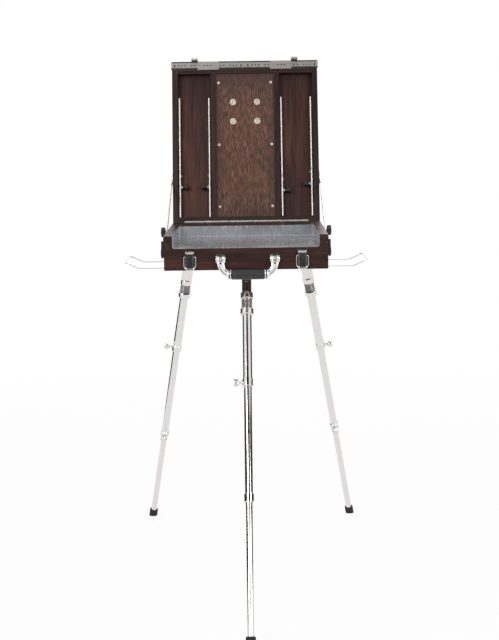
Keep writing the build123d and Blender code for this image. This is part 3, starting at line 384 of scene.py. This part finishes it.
def perforated_bar(name, painted_shade_of, shadow):
    """Brushed steel, darkened by painted shade where the given mask function says so."""
    made = Finish(name)
    place = made.place()
    x, up, out = made.split(made.lid_place())
    lines = made.noise(made.scaled(place, (8, 700, 700)), 3, 0.6)
    smears = made.noise(made.scaled(place, (30, 30, 30)), 4, 0.6)
    steel = made.mix(made.span(smears, 0.35, 0.7, 0.0, 0.7), tint(176, 171, 167),
                     tint(132, 128, 126))
    # Painted shade: a dark, less metallic tint over the bar's edge grooves and the track behind its
    # holes.
    groove_shade = painted_shade_of(made, x, up, out)
    made.colour(made.mix(groove_shade, steel, shadow))
    made.metallic(made.math("SUBTRACT", 1.0, made.math("MULTIPLY", groove_shade, 0.8)))
    level = made.span(smears, 0.35, 0.7, 0.3, 0.42)
    made.roughness(made.math("ADD", level, made.math("MULTIPLY", lines, 0.12)))
    made.bump(lines, 0.12, 0.08)
    return made.material


finishes["slide_bar"] = perforated_bar("slide_bar", edge_groove_shade, tint(44, 41, 40))
finishes["bar_track"] = perforated_bar("bar_track", track_shade, tint(34, 31, 30))


def pale_bolt():
    """Cream plated bolt heads with a dull cloudy surface."""
    made = Finish("pale_bolt", Metallic=0.35)
    place = made.place()
    cloud = made.noise(made.scaled(place, (220, 220, 220)), 4, 0.6)
    made.colour(made.ramp(cloud, (0.35, tint(168, 156, 144)), (0.62, tint(216, 208, 196))))
    made.roughness(made.span(cloud, 0.3, 0.7, 0.28, 0.5))
    made.bump(cloud, 0.25, 0.15)
    return made.material


finishes["pale_bolt"] = pale_bolt()


# A finish for each CAD node, and rounded edges for the wooden ones

def soften(piece, width, parts=2):
    """Rounds the sharp edges of a piece when it is shown."""
    bevel = piece.modifiers.new("edges", "BEVEL")
    bevel.width = width * mm
    bevel.segments = parts
    bevel.limit_method = "ANGLE"
    bevel.angle_limit = math.radians(32)
    bevel.use_clamp_overlap = True
    bevel.miter_outer = "MITER_ARC"
    normals = piece.modifiers.new("normals", "WEIGHTED_NORMAL")
    normals.keep_sharp = False
    normals.weight = 60


def dress(name, finish, width):
    """Gives a CAD node its finish, and rounds its edges where width isn't zero."""
    piece = nodes[name]
    piece.data.materials.clear()
    piece.data.materials.append(finishes[finish])
    if not width:
        return
    for face in piece.data.polygons:
        face.use_smooth = True
    weld = piece.modifiers.new("weld", "WELD")
    weld.merge_threshold = 0.002 * mm
    soften(piece, width)


dressing = {
    "walnut_x": (("front_panel", "back_panel", "inner_woodwork"), 0.9),
    "walnut_y": (("side_panel_left", "side_panel_right", "bottom_panel"), 0.9),
    "walnut_lid": (("lid_frame",), 0.7),
    "walnut_panel": (("lid_back_panel",), 0.3),
    "fibre_board": (("lid_center_panel",), 0),
    "front_metal": (("front_fittings",), 0),
    "chrome_fitting": (("underside_fittings", "latch_bail_left", "latch_bail_right"), 0),
    "hinge_steel": (("hinge_box_leaf",), 0),
    "satin_steel": (("hinge_lid_leaf", "lid_fittings", "stay_left", "stay_right"), 0),
    "slide_bar": (("slide_bar_left", "slide_bar_right"), 0),
    "bar_track": (("bar_track",), 0),
    "pale_bolt": (("mount_plate",), 0),
    "rod_steel": (("guide_rods",), 0),
    "tray_sheet": (("tray",), 0),
    "wire_chrome": (("side_loop_left", "side_loop_right"), 0),
    "chrome_leg": (tuple(part + leg for leg in leg_data
                         for part in ("leg_upper_", "leg_middle_", "leg_lower_")), 0),
    "spring_steel": (tuple("leg_spring_" + leg for leg in leg_data), 0),
}
for finish, (names, width) in dressing.items():
    for name in names:
        dress(name, finish, width)


# Mesh building

def finished(name, bm, place, finish, body, replaced=()):
    """Makes a piece from a mesh in millimetres, puts it in its place and lets it ride."""
    bm.transform(Matrix.Scale(mm, 4) @ place)
    bmesh.ops.recalc_face_normals(bm, faces=bm.faces)
    mesh = bpy.data.meshes.new(name)
    bm.to_mesh(mesh)
    bm.free()
    for face in mesh.polygons:
        face.use_smooth = True
    mesh.materials.append(finishes[finish])
    piece = bpy.data.objects.new(name, mesh)
    scene.collection.objects.link(piece)
    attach(piece, body)
    if replaced:
        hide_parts(*replaced)
    return piece


def patch(bm, corners):
    """Adds a face, with a corner that comes twice taken once."""
    bm.faces.new([c for n, c in enumerate(corners) if c not in corners[:n]])


def turned(profile, steps=48, ripple=None, closed=False, bm=None, place=Matrix()):
    """Turns a profile of (radius, height) round Z. ripple changes a radius by its angle."""
    bm = bm or bmesh.new()
    rings = []
    for radius, height in profile:
        count = steps if radius > 0 else 1
        ring = []
        for i in range(count):
            turn = 2 * math.pi * i / steps
            far = ripple(radius, height, turn) if ripple and radius > 0 else radius
            spot = Vector((far * math.cos(turn), far * math.sin(turn), height))
            ring.append(bm.verts.new(place @ spot))
        rings.append(ring)
    pairs = list(zip(rings, rings[1:]))
    if closed:
        pairs.append((rings[-1], rings[0]))
    for low, high in pairs:
        for i in range(steps):
            j = (i + 1) % steps
            patch(bm, [low[i % len(low)], low[j % len(low)],
                       high[j % len(high)], high[i % len(high)]])
    return bm


def slab(bm, low, high, edge=0.4, parts=2):
    """Adds a box with rounded edges."""
    low, high = Vector(low), Vector(high)
    made = bmesh.ops.create_cube(bm, size=1.0)["verts"]
    bmesh.ops.scale(bm, vec=high - low, verts=made)
    bmesh.ops.translate(bm, vec=(low + high) / 2, verts=made)
    edges = list({e for v in made for e in v.link_edges})
    bmesh.ops.bevel(bm, geom=edges, offset=edge, segments=parts, profile=0.6,
                    affect="EDGES", clamp_overlap=True)


def walled(bm, near, far):
    """Closes two equal outlines of corners and joins them with walls."""
    bm.faces.new(near)
    bm.faces.new(reversed(far))
    for i in range(len(near)):
        j = (i + 1) % len(near)
        bm.faces.new((near[i], far[i], far[j], near[j]))


def prism(bm, outline, x0, x1):
    """Adds a solid between two X planes from an outline of (y, z) points."""
    near = [bm.verts.new((x0, y, z)) for y, z in outline]
    far = [bm.verts.new((x1, y, z)) for y, z in outline]
    walled(bm, near, far)


def arc(centre, radius, start, end, parts):
    """Points of (y, z) along an arc, with its angles in degrees."""
    y, z = centre
    turns = [math.radians(start + (end - start) * i / parts) for i in range(parts + 1)]
    return [(y + radius * math.cos(t), z + radius * math.sin(t)) for t in turns]


def screw_head(bm, place, radius, rise):
    """Adds a domed screw head with a cross recess, standing on its own XY plane."""
    rings, steps = 8, 40
    slot_half, slot_reach, depth = radius * 0.13, radius * 0.55, rise * 0.3
    grid = []
    for i in range(rings + 1):
        ring = []
        for j in range(steps):
            turn = 2 * math.pi * j / steps
            far = radius * i / rings
            x, y = far * math.cos(turn), far * math.sin(turn)
            height = rise * (1 - 0.75 * (i / rings) ** 3)
            across, along = sorted((abs(x), abs(y)))
            if across < slot_half and along < slot_reach:
                height -= depth
            ring.append(bm.verts.new(place @ Vector((x, y, height))))
            if i == 0:
                break
        grid.append(ring)
    foot = [bm.verts.new(place @ Vector((radius * math.cos(2 * math.pi * j / steps),
                                         radius * math.sin(2 * math.pi * j / steps), 0)))
            for j in range(steps)]
    grid.append(foot)
    for low, high in zip(grid, grid[1:]):
        for j in range(steps):
            k = (j + 1) % steps
            patch(bm, [low[j % len(low)], low[k % len(low)], high[k], high[j]])


to_x = Matrix.Rotation(math.radians(90), 4, "Y")
to_front = Matrix.Rotation(math.radians(90), 4, "X")


# Thumb screws with knurled heads, and the bosses that they turn in

screw_radius = 3.0
screw_neck = 23.0
screw_end = 35.0
screw_head_radius = 8.75
thread_pitch = 1.0
thread_depth = 0.35
knurls = 26
knurl_depth = 0.5


def knurled(radius, height, turn):
    if radius < screw_head_radius - 0.1:
        return radius
    return radius - knurl_depth * (0.5 - 0.5 * math.cos(knurls * turn)) ** 2


def thumb_screw(leg, number, along, tube_radius, turn, carrier, boss_start):
    """A screw on a leg's collar, along from the fold, and the boss that it turns in."""
    place = (leg_place(leg) @ Matrix.Translation((0, 0, -along))
             @ Matrix.Rotation(math.radians(turn), 4, "Z") @ to_x)
    tip = tube_radius + 0.35
    profile = [(0, tip), (screw_radius - 0.7, tip), (screw_radius, tip + 0.8)]
    thread = tip + 1.2
    while thread < screw_neck - 3:
        profile += [(screw_radius, thread), (screw_radius - thread_depth, thread + 0.5)]
        thread += thread_pitch
    profile += [(screw_radius, screw_neck - 2.4), (5.4, screw_neck - 1.8), (5.6, screw_neck),
                (7.9, screw_neck + 0.3), (screw_head_radius, screw_neck + 1.4),
                (screw_head_radius, screw_end - 1.6), (7.9, screw_end - 0.4),
                (6.4, screw_end), (5.6, screw_end - 0.8), (0, screw_end - 1.1)]
    piece = "thumb_screw_" + leg + "_" + str(number)
    finished(piece + "_turned", turned(profile, 104, knurled), place, "chrome_screw",
             piece, [piece])
    inner = screw_radius + 0.25
    boss = [(inner, boss_start), (5.6, boss_start), (5.6, boss_start + 3.4),
            (5.0, boss_start + 4.2), (inner, boss_start + 4.2)]
    finished("screw_boss_" + leg + "_" + str(number), turned(boss, 40, closed=True), place,
             "chrome_leg", carrier + leg)


middle_tube_radius = 9.75
lower_tube_radius = 8.25
first_boss_start = 12.3
second_boss_start = 11.3
for leg in leg_data:
    thumb_screw(leg, 1, first_collar, middle_tube_radius, first_screw_turn[leg],
                "leg_upper_", first_boss_start)
    thumb_screw(leg, 2, second_collars[leg], lower_tube_radius, second_screw_turn[leg],
                "leg_middle_", second_boss_start)


# Rubber feet, ribbed and worn flat where they stand on the floor

foot_top = 894.0
foot_end = 943.7
foot_radius = 12.0
tube_bore = 8.27
foot_ribs = 4
rib_pitch = 3.6
for leg in leg_data:
    profile = [(0, -foot_top - 11), (tube_bore, -foot_top - 11), (tube_bore, -foot_top),
               (10.4, -foot_top), (11.4, -foot_top - 1.2)]
    for rib in range(foot_ribs):
        top = -foot_top - 3.5 - rib * rib_pitch
        profile += [(foot_radius, top), (foot_radius, top - 2.2), (foot_radius - 0.8, top - 2.7),
                    (foot_radius - 0.8, top - 3.1)]
    profile += [(foot_radius, -foot_top - 20), (foot_radius, -foot_end + 1.5),
                (foot_radius - 1.5, -foot_end), (0, -foot_end)]
    bm = turned(profile, 56)
    bm.transform(leg_place(leg))
    cut = bmesh.ops.bisect_plane(bm, geom=bm.verts[:] + bm.edges[:] + bm.faces[:],
                                 plane_co=(0, 0, 0), plane_no=(0, 0, -1), clear_outer=True)
    rim = [e for e in cut["geom_cut"] if isinstance(e, bmesh.types.BMEdge)]
    bmesh.ops.contextual_create(bm, geom=rim)
    foot = finished("foot_" + leg, bm, Matrix(), "rubber_foot", "leg_lower_" + leg,
                    ["leg_foot_" + leg])
    soften(foot, 0.25)


# Star knobs of the lid stays

stay_bolt = (213.0, 77.0)
knob_inner = 207.0
star_radius = 10.8
lobes = 6
lobe_share = 0.19
star_profile = ((0, 0), (0.8, 0), (0.94, 0.7), (1, 2), (1, 8.6), (0.95, 10.2), (0.8, 11.3),
                (0.5, 11.8), (0.3, 11.9), (0.26, 11.2), (0, 11.1))


def starred(radius, height, turn):
    lobe = 1.0 + lobe_share * math.cos(lobes * turn)
    share = radius / star_radius
    return radius * (1 + (lobe - 1) * min(1.0, max(0.0, (share - 0.35) / 0.45)))


for word, side in (("left", -1), ("right", 1)):
    spot = box_place @ Matrix.Translation((side * knob_inner, *stay_bolt))
    out = spot @ Matrix.Rotation(math.radians(90 * side), 4, "Y")
    profile = [(star_radius * share, height) for share, height in star_profile]
    star = finished("star_knob_" + word, turned(profile, 96, starred), out, "black_plastic",
                    "stay_knob_" + word, ["stay_knob_" + word])
    soften(star, 0.2)
    bolt = [(0, -18), (2.6, -18), (3, -17.4), (3, -6.7), (6, -6.65), (6, -5.1), (3, -5.05),
            (3, -1.9), (5.8, -1.85), (5.8, 0.02), (0, 0.02)]
    finished("stay_bolt_" + word, turned(bolt, 40), out, "chrome_fitting",
             "stay_knob_" + word)


# Latch levers: a chrome frame round a ribbed black grip

latch_x = 137.0
latch_y = -5.0
latch_z = 42.0
lever_half = 10.5
rail_width = 3.1
lever_front = latch_y - 3.5
lever_back = latch_y + 3.5
lever_foot = 4.6
lever_neck = 37.0
lever_ribs = 9
lever_rib_pitch = 1.4
for word, side in (("left", -1), ("right", 1)):
    place = box_place @ Matrix.Translation((side * latch_x, 0, 0))
    outline = (arc((latch_y, latch_z), 3.5, -10, 190, 14)
               + arc((lever_front + 3, lever_foot + 3), 3.0, 180, 270, 6)
               + arc((lever_back - 1.5, lever_foot + 1.5), 1.5, 270, 360, 4))
    bm = bmesh.new()
    for end in (-1, 1):
        edges = sorted((end * (lever_half - rail_width), end * lever_half))
        prism(bm, outline, *edges)
    slab(bm, (-lever_half + 1, lever_back - 2.6, lever_foot + 0.4),
         (lever_half - 1, lever_back - 0.2, lever_neck), 0.3)
    slab(bm, (-lever_half + 1, lever_front + 0.5, lever_foot + 0.1),
         (lever_half - 1, lever_back - 0.4, lever_foot + 2.4), 0.6)
    chrome = finished("latch_lever_frame_" + word, bm, place, "chrome_fitting",
                      "latch_lever_" + word, ["latch_lever_" + word])
    soften(chrome, 0.45)
    bm = bmesh.new()
    slab(bm, (-7.3, lever_front - 0.1, lever_foot + 0.9),
         (7.3, lever_back - 2.4, lever_neck + 1.2), 0.9, 3)
    for rib in range(lever_ribs):
        x = (rib - (lever_ribs - 1) / 2) * lever_rib_pitch
        slab(bm, (x - 0.4, lever_front - 0.5, lever_foot + 3.5),
             (x + 0.4, lever_front + 0.6, lever_neck - 1.2), 0.25)
    finished("latch_lever_grip_" + word, bm, place, "black_plastic",
             "latch_lever_" + word)


# Carrying handle: a moulded grip with rings at its ends

handle_x = 4.0
handle_out = 9.0
handle_height = 28.0
handle_lean = 7.6
handle_drop = 37.8
grip_half = 40.5
grip_radius = 12.8
grip_waves = 32
wave_depth = 0.18
handle_place = (box_place @ Matrix.Translation((handle_x, -handle_out, handle_height))
                @ Matrix.Rotation(math.radians(-handle_lean), 4, "X")
                @ Matrix.Translation((0, 0, -handle_drop)) @ to_x)
profile = [(0, -grip_half), (9.6, -grip_half), (grip_radius - 0.9, -grip_half + 0.3),
           (grip_radius - 0.15, -grip_half + 1.4)]
for i in range(grip_waves + 1):
    along = -grip_half + 2.6 + i * (2 * grip_half - 5.2) / grip_waves
    swell = grip_radius - 0.25 * abs(along / grip_half) ** 2
    profile += [(swell, along - 0.55), (swell - wave_depth, along), (swell, along + 0.55)]
profile += [(grip_radius - 0.15, grip_half - 1.4), (grip_radius - 0.9, grip_half - 0.3),
            (9.6, grip_half), (0, grip_half)]
finished("grip", turned(profile, 72), handle_place, "black_grip", "handle",
         ["handle_grip"])
rings = bmesh.new()
washers = bmesh.new()
for side in (-1, 1):
    for start, end in ((41.4, 43.8), (46.2, 48.6)):
        turned([(10.3, side * start), (11.9, side * start), (12.3, side * (start + 0.5)),
                (12.3, side * (end - 0.5)), (11.9, side * end), (10.3, side * end)],
               56, closed=True, bm=rings)
    turned([(10.3, side * 44), (11.3, side * 44), (11.3, side * 46), (10.3, side * 46)],
           56, closed=True, bm=washers)
finished("grip_rings", rings, handle_place, "chrome_fitting", "handle")
finished("grip_washers", washers, handle_place, "black_plastic", "handle")


# Handle arms: a fork round each mount, then a rounded bar that curves in to the grip

arm_path = ((0.0, -6.5), (0.2, -10.5), (1.0, -15.5), (2.6, -21.0), (5.2, -26.5), (9.0, -31.6),
            (13.6, -35.4), (18.4, -37.4), (22.6, -37.8), (25.2, -37.8))
arm_half_widths = (10.2, 9.8, 9.3, 8.8, 8.3, 7.9, 7.7, 8.2, 9.4, 10.1)
arm_half_depths = (5.0, 5.1, 5.2, 5.3, 5.5, 5.8, 6.4, 7.4, 9.2, 10.1)
prong_inner = 4.4
prong_outer = 10.9
pin_reach = 66.0


def lofted_arm(bm, side):
    """Adds one arm's bar, with rounded corners, along its path from the fork to the grip."""
    steps = 28
    rings = []
    for i, (x, z) in enumerate(arm_path):
        before = Vector(arm_path[max(i - 1, 0)])
        after = Vector(arm_path[min(i + 1, len(arm_path) - 1)])
        ahead = (after - before).normalized()
        sideways = Vector((-ahead.y, ahead.x))
        ring = []
        for j in range(steps):
            turn = 2 * math.pi * j / steps
            c, n = math.cos(turn), math.sin(turn)
            wide = arm_half_widths[i] * math.copysign(abs(c) ** 0.72, c)
            deep = arm_half_depths[i] * math.copysign(abs(n) ** 0.72, n)
            spot = Vector((x, z)) + sideways * wide
            ring.append(bm.verts.new((side * (pin_reach - spot.x), deep, spot.y)))
        rings.append(ring)
    for low, high in zip(rings, rings[1:]):
        for j in range(steps):
            k = (j + 1) % steps
            bm.faces.new((low[j], low[k], high[k], high[j]))
    bm.faces.new(rings[0])
    bm.faces.new(reversed(rings[-1]))


arm_place = (box_place @ Matrix.Translation((handle_x, -handle_out, handle_height))
             @ Matrix.Rotation(math.radians(-handle_lean), 4, "X"))
arms = bmesh.new()
dark = bmesh.new()
for side in (-1, 1):
    lofted_arm(arms, side)
    for end in (-1, 1):
        middle = side * pin_reach + end * (prong_inner + prong_outer) / 2
        half = (prong_outer - prong_inner) / 2
        place = Matrix.Translation((middle, 0, 0)) @ to_x
        turned([(2.6, -half), (5.2, -half), (5.9, -half + 0.7), (5.9, half - 0.7),
                (5.2, half), (2.6, half)], 40, closed=True, bm=arms, place=place)
        edges = sorted((side * pin_reach + end * prong_inner,
                        side * pin_reach + end * prong_outer))
        slab(arms, (edges[0], -4.9, -9.5), (edges[1], 4.9, -3.2), 1.0, 3)
        cap = Matrix.Translation((side * pin_reach + end * prong_outer, 0, 0)) @ Matrix.Rotation(
            math.radians(90 * end), 4, "Y")
        turned([(0, -1.0), (4.2, -1.0), (4.2, 0.4), (3.4, 1.4), (1.8, 2.0), (0, 2.2)], 32,
               bm=arms, place=cap)
    hole = Matrix.Translation((side * pin_reach, -5.02, -11.5)) @ to_front
    turned([(0, -1.2), (2.4, -1.2), (2.4, 0.15), (1.9, 0.35), (0, 0.3)], 28, bm=dark, place=hole)
finished("handle_arm_bars", arms, arm_place, "chrome_fitting", "handle",
         ["handle_arms"])
finished("handle_arm_screws", dark, arm_place, "black_plastic", "handle")


# Strap lugs: a folded black strap on each bracket

lug_pin = Vector((203.4, 11.0, 63.0))
strap_width = 12.4
strap_lean = 0.2
strap_flat = 3.0
strap_profile = ((1.4, 2.9), (2.5, 2.0), (3.0, 0.0), (2.7, -4.0), (3.2, -9.0), (3.9, -15.0),
                 (4.2, -21.0), (4.0, -26.5), (3.1, -30.5), (1.7, -33.0))
strap_outline = [(wide + strap_lean, height) for wide, height in strap_profile]
strap_outline += [(strap_lean - min(wide, strap_flat), height)
                  for wide, height in reversed(strap_profile)]
for word, side in (("left", -1), ("right", 1)):
    bm = bmesh.new()
    near = [bm.verts.new((side * (lug_pin.x + x), lug_pin.y - strap_width / 2, lug_pin.z + z))
            for x, z in strap_outline]
    far = [bm.verts.new((v.co.x, v.co.y + strap_width, v.co.z)) for v in near]
    walled(bm, near, far)
    lug = finished("strap_lug_" + word + "_folded", bm, box_place, "black_plastic",
                   "strap_lug_" + word, ["strap_lug_" + word])
    soften(lug, 0.8, 3)


# Panel clamps on the guide rods

clamp_heights = (141.4, 141.5, 129.4, 147.1)
rod_x = (-(half_width - stile_width - 4.5), -(divider_outer + 4.5),
         divider_outer + 4.5, half_width - stile_width - 4.5)
rod_depth = 8.0
ring_half = 3.0
clamp_reach = 43.0
flutes = 14
flute_depth = 0.55
flute_start = 7.0


def fluted(radius, height, turn):
    if radius <= flute_start:
        return radius
    return radius - flute_depth * (0.5 + 0.5 * math.cos(flutes * turn)) ** 3


for number, (x, up) in enumerate(zip(rod_x, clamp_heights), 1):
    inward = 1 if number in (1, 3) else -1
    body = "panel_clamp_" + str(number)
    steel = bmesh.new()
    spot = Matrix.Translation((x, up, -rod_depth)) @ Matrix.Rotation(math.radians(-90), 4, "X")
    turned([(2.81, -ring_half), (3.7, -ring_half), (4.2, -ring_half + 0.5), (4.2, -0.9),
            (3.95, -0.5), (3.95, 0.5), (4.2, 0.9), (4.2, ring_half - 0.5), (3.7, ring_half),
            (2.81, ring_half)], 40, closed=True, bm=steel, place=spot)
    knob_up = up - clamp_reach
    back0, back1 = -(rod_depth + 5.15), -(rod_depth + 3.15)
    slab(steel, (x - 2.5, knob_up - 6, back0), (x + 2.5, up - ring_half + 1, back1), 0.5)
    edges = sorted((x + inward * 3.15, x + inward * 6.15))
    slab(steel, (edges[0], knob_up - 4, back0), (edges[1], knob_up + 4, -rod_depth + 3), 0.6)
    edges = sorted((x, x + inward * 5.75))
    slab(steel, (edges[0], up - 13, back0), (edges[1], up - 9, back1), 0.5)
    edges = sorted((x, x + inward * 6))
    slab(steel, (edges[0], knob_up - 4, back0), (edges[1], knob_up + 4, back1), 0.5)
    dot = Matrix.Translation((x + inward * 4.45, up - 11, back1))
    turned([(1.9, 0), (1.9, 1.2), (1.4, 1.9), (0, 2.1)], 24, bm=steel, place=dot)
    stem = (Matrix.Translation((x, knob_up, -rod_depth))
            @ Matrix.Rotation(math.radians(90 * inward), 4, "Y"))
    turned([(0, 5), (2.2, 5), (2.2, 10.6), (0, 10.6)], 28, bm=steel, place=stem)
    finished("clamp_steel_" + str(number), steel, lid_place, "clamp_steel", body,
             ["panel_clamp_" + str(number)])
    start = 3.15 + 6.4
    knob = turned([(0, start), (4.2, start), (5, start + 0.6), (5.2, start + 2.4),
                   (7.0, start + 3.2), (7.5, start + 4.2), (7.5, start + 11.8),
                   (7.0, start + 12.9), (5.4, start + 13.5), (0, start + 13.5)], 84, fluted)
    finished("clamp_knob_" + str(number), knob, lid_place @ stem, "black_plastic", body)


# Screws with cross recesses

panel_screw_x = 72.0
panel_screw_heights = (42.0, 215.3, 389.8)
panel_face = -5.0
heads = bmesh.new()
for side in (-1, 1):
    for up in panel_screw_heights:
        place = Matrix.Translation((side * panel_screw_x, up, panel_face))
        place = place @ Matrix.Rotation(math.radians(side * up), 4, "Z")
        screw_head(heads, place, 4.0, 2.0)
        turned([(0, -0.2), (1.5, -0.2), (1.5, -11.5), (0, -12)], 24, bm=heads, place=place)
finished("panel_screw_heads", heads, lid_place, "pale_bolt", "lid",
         ["panel_screws"])

hinge_screws = 8
hinge_screw_reach = 150.0
leaf_face = 447.0
hinge_screw_height = 66.0
heads = bmesh.new()
for i in range(hinge_screws):
    x = -hinge_screw_reach + i * 2 * hinge_screw_reach / (hinge_screws - 1)
    place = Matrix.Translation((x, leaf_face, hinge_screw_height)) @ Matrix.Rotation(
        math.radians(-90), 4, "X")
    screw_head(heads, place @ Matrix.Rotation(0.4 * i, 4, "Z"), 3.0, 0.7)
finished("hinge_screws", heads, box_place, "chrome_screw", "box")


# Floor, studio surroundings, lamps and camera

def sheet_of(name, centre, size, turn, material):
    """A flat sheet of the studio, in metres and degrees."""
    mesh = bpy.data.meshes.new(name)
    wide, deep = size[0] / 2, size[1] / 2
    mesh.from_pydata([(-wide, -deep, 0), (wide, -deep, 0), (wide, deep, 0), (-wide, deep, 0)],
                     [], [(0, 1, 2, 3)])
    mesh.materials.append(material)
    piece = bpy.data.objects.new(name, mesh)
    piece.location = centre
    piece.rotation_euler = [math.radians(part) for part in turn]
    scene.collection.objects.link(piece)
    return piece


def floor_finish():
    """Pale matt floor that a camera, a mirror and glass see as white. It keeps its shadow
    near the easel and is all white further out."""
    made = Finish("floor", Base_Color=(0.9, 0.9, 0.9, 1.0), Roughness=0.9)
    rays = made.node("ShaderNodeLightPath", {}).outputs
    seen = made.math("MAXIMUM", rays["Is Camera Ray"],
                     made.math("MAXIMUM", rays["Is Glossy Ray"], rays["Is Transmission Ray"]))
    away = made.node("ShaderNodeVectorMath", {0: made.place()}, operation="LENGTH")
    share = made.span(away.outputs["Value"], 0.8, 3.6, 0.9, 1.0)
    glow = made.node("ShaderNodeEmission", {"Color": (1, 1, 1, 1), "Strength": 1.0})
    mixed = made.node("ShaderNodeMixShader", {0: made.math("MULTIPLY", seen, share),
                                              1: made.shader.outputs[0], 2: glow.outputs[0]})
    out = made.tree.nodes["Material Output"]
    made.tree.links.new(mixed.outputs[0], out.inputs["Surface"])
    return made.material


sheet_of("floor", (0, 0, 0), (60, 60), (0, 0, 0), floor_finish())

# Dark cards, each as its name, centre, size and turn, that show only in reflections
dark_card = Finish("dark_card", Base_Color=(0.02, 0.02, 0.02, 1.0), Roughness=1.0).material
cards = (
    ("high_card", (0, -4.4, 4.3), (5.0, 2.3), (90, 0, 0)),
    ("low_card", (0, -4.4, 0.62), (5.0, 1.2), (90, 0, 0)),
    ("left_card", (-6, 5.2, 1.3), (2.6, 7.6), (0, 90, 0)),
    ("right_card", (6, 5.2, 1.3), (2.6, 7.6), (0, 90, 0)),
    ("ground_card", (-3.2, 2.3, 0.01), (4.0, 3.6), (0, 0, 0)),
)
studio_cards = [sheet_of(name, centre, size, turn, dark_card)
                for name, centre, size, turn in cards]


bright_band = (11, 44)
band_end = 330
edge_start = 700
card_reach = 4.5


def leg_card():
    """A dark curved card that the front leg mirrors. It leaves two bright bands free along
    the upper tube, and one edge of the lower tube that widens towards the foot."""
    axis = leg_place("front").to_3x3() @ Vector((0, 0, -1))
    start = leg_place("front").translation * mm
    facing = leg_place("front").to_3x3() @ Vector((0, -1, 0))
    columns = list(range(-66, 67, 6))
    rows = list(range(20, 900, 40))
    bm = bmesh.new()
    grid = []
    for along in rows:
        spot = start + axis * along * mm
        ray = (spot - camera_spot).normalized()
        row = []
        for turn in columns:
            angle = math.radians(turn)
            normal = facing * math.cos(angle) + Vector((math.sin(angle), 0, 0))
            normal.normalize()
            away = ray - 2 * ray.dot(normal) * normal
            row.append(bm.verts.new(spot + away * card_reach))
        grid.append(row)
    for i in range(len(rows) - 1):
        for j in range(len(columns) - 1):
            turn = (columns[j] + columns[j + 1]) / 2
            upper = rows[i] < band_end and bright_band[0] < abs(turn) < bright_band[1]
            lower = rows[i] > edge_start and turn > 60 - (rows[i] - edge_start) * 0.7
            if not upper and not lower:
                bm.faces.new((grid[i][j], grid[i][j + 1], grid[i + 1][j + 1], grid[i + 1][j]))
    mesh = bpy.data.meshes.new("leg_card")
    bm.to_mesh(mesh)
    bm.free()
    mesh.materials.append(dark_card)
    card = bpy.data.objects.new("leg_card", mesh)
    scene.collection.objects.link(card)
    return card


world = bpy.data.worlds.new("studio")
scene.world = world
world.use_nodes = True
links = world.node_tree.links
plane = world.node_tree.nodes["Background"]
plane.inputs["Color"].default_value = (1, 1, 1, 1)
plane.inputs["Strength"].default_value = 0.38
bright = world.node_tree.nodes.new("ShaderNodeBackground")
bright.inputs["Color"].default_value = (1, 1, 1, 1)
bright.inputs["Strength"].default_value = 1.0
rays = world.node_tree.nodes.new("ShaderNodeLightPath").outputs
seen = None
for ray in ("Is Camera Ray", "Is Glossy Ray", "Is Transmission Ray"):
    if seen is None:
        seen = rays[ray]
        continue
    larger = world.node_tree.nodes.new("ShaderNodeMath")
    larger.operation = "MAXIMUM"
    links.new(seen, larger.inputs[0])
    links.new(rays[ray], larger.inputs[1])
    seen = larger.outputs[0]
choice = world.node_tree.nodes.new("ShaderNodeMixShader")
links.new(seen, choice.inputs[0])
links.new(plane.outputs[0], choice.inputs[1])
links.new(bright.outputs[0], choice.inputs[2])
links.new(choice.outputs[0], world.node_tree.nodes["World Output"].inputs["Surface"])


def lamp(name, place, target, size, power):
    """An area lamp in metres and watts, turned towards its target."""
    made = bpy.data.lights.new(name, "AREA")
    made.shape = "RECTANGLE"
    made.size, made.size_y = size
    made.energy = power
    lit = bpy.data.objects.new(name, made)
    lit.location = place
    lit.rotation_euler = (Vector(target) - Vector(place)).to_track_quat("-Z", "Y").to_euler()
    scene.collection.objects.link(lit)


lamp("key", (-2.2, -3.2, 2.6), (0, 0, 0.9), (1.6, 1.6), 84)
lamp("fill", (2.6, -3.0, 2.0), (0, 0, 0.9), (1.6, 1.6), 62)
lamp("back", (0.6, 2.6, 3.0), (0, 0, 1.0), (2.0, 1.2), 45)

focal_pixels = 1507.8
picture_height = 640
camera_spot = box_origin * mm + Vector((0.0214, -3.6531, 0.384))
yaw, pitch, roll = (math.radians(part) for part in (0.24, 7.91, -0.84))
level_right = Vector((math.cos(yaw), math.sin(yaw), 0))
level_ahead = Vector((-math.sin(yaw), math.cos(yaw), 0))
ahead = level_ahead * math.cos(pitch) - Vector((0, 0, math.sin(pitch)))
upward = level_right.cross(ahead)
right = level_right * math.cos(roll) + upward * math.sin(roll)
top = right.cross(ahead)
camera_data = bpy.data.cameras.new("camera")
camera_data.sensor_fit = "AUTO"
camera_data.sensor_width = 36.0
camera_data.lens = focal_pixels * camera_data.sensor_width / picture_height
camera_data.clip_end = 200
camera = bpy.data.objects.new("camera", camera_data)
camera.matrix_world = Matrix.Translation(camera_spot) @ Matrix(
    (right, top, -ahead)).transposed().to_4x4()
scene.collection.objects.link(camera)
scene.camera = camera

for card in studio_cards + [leg_card()]:
    card.visible_camera = False
    card.visible_diffuse = False
    card.visible_shadow = False
    card.visible_transmission = False

scene.view_settings.view_transform = "Standard"
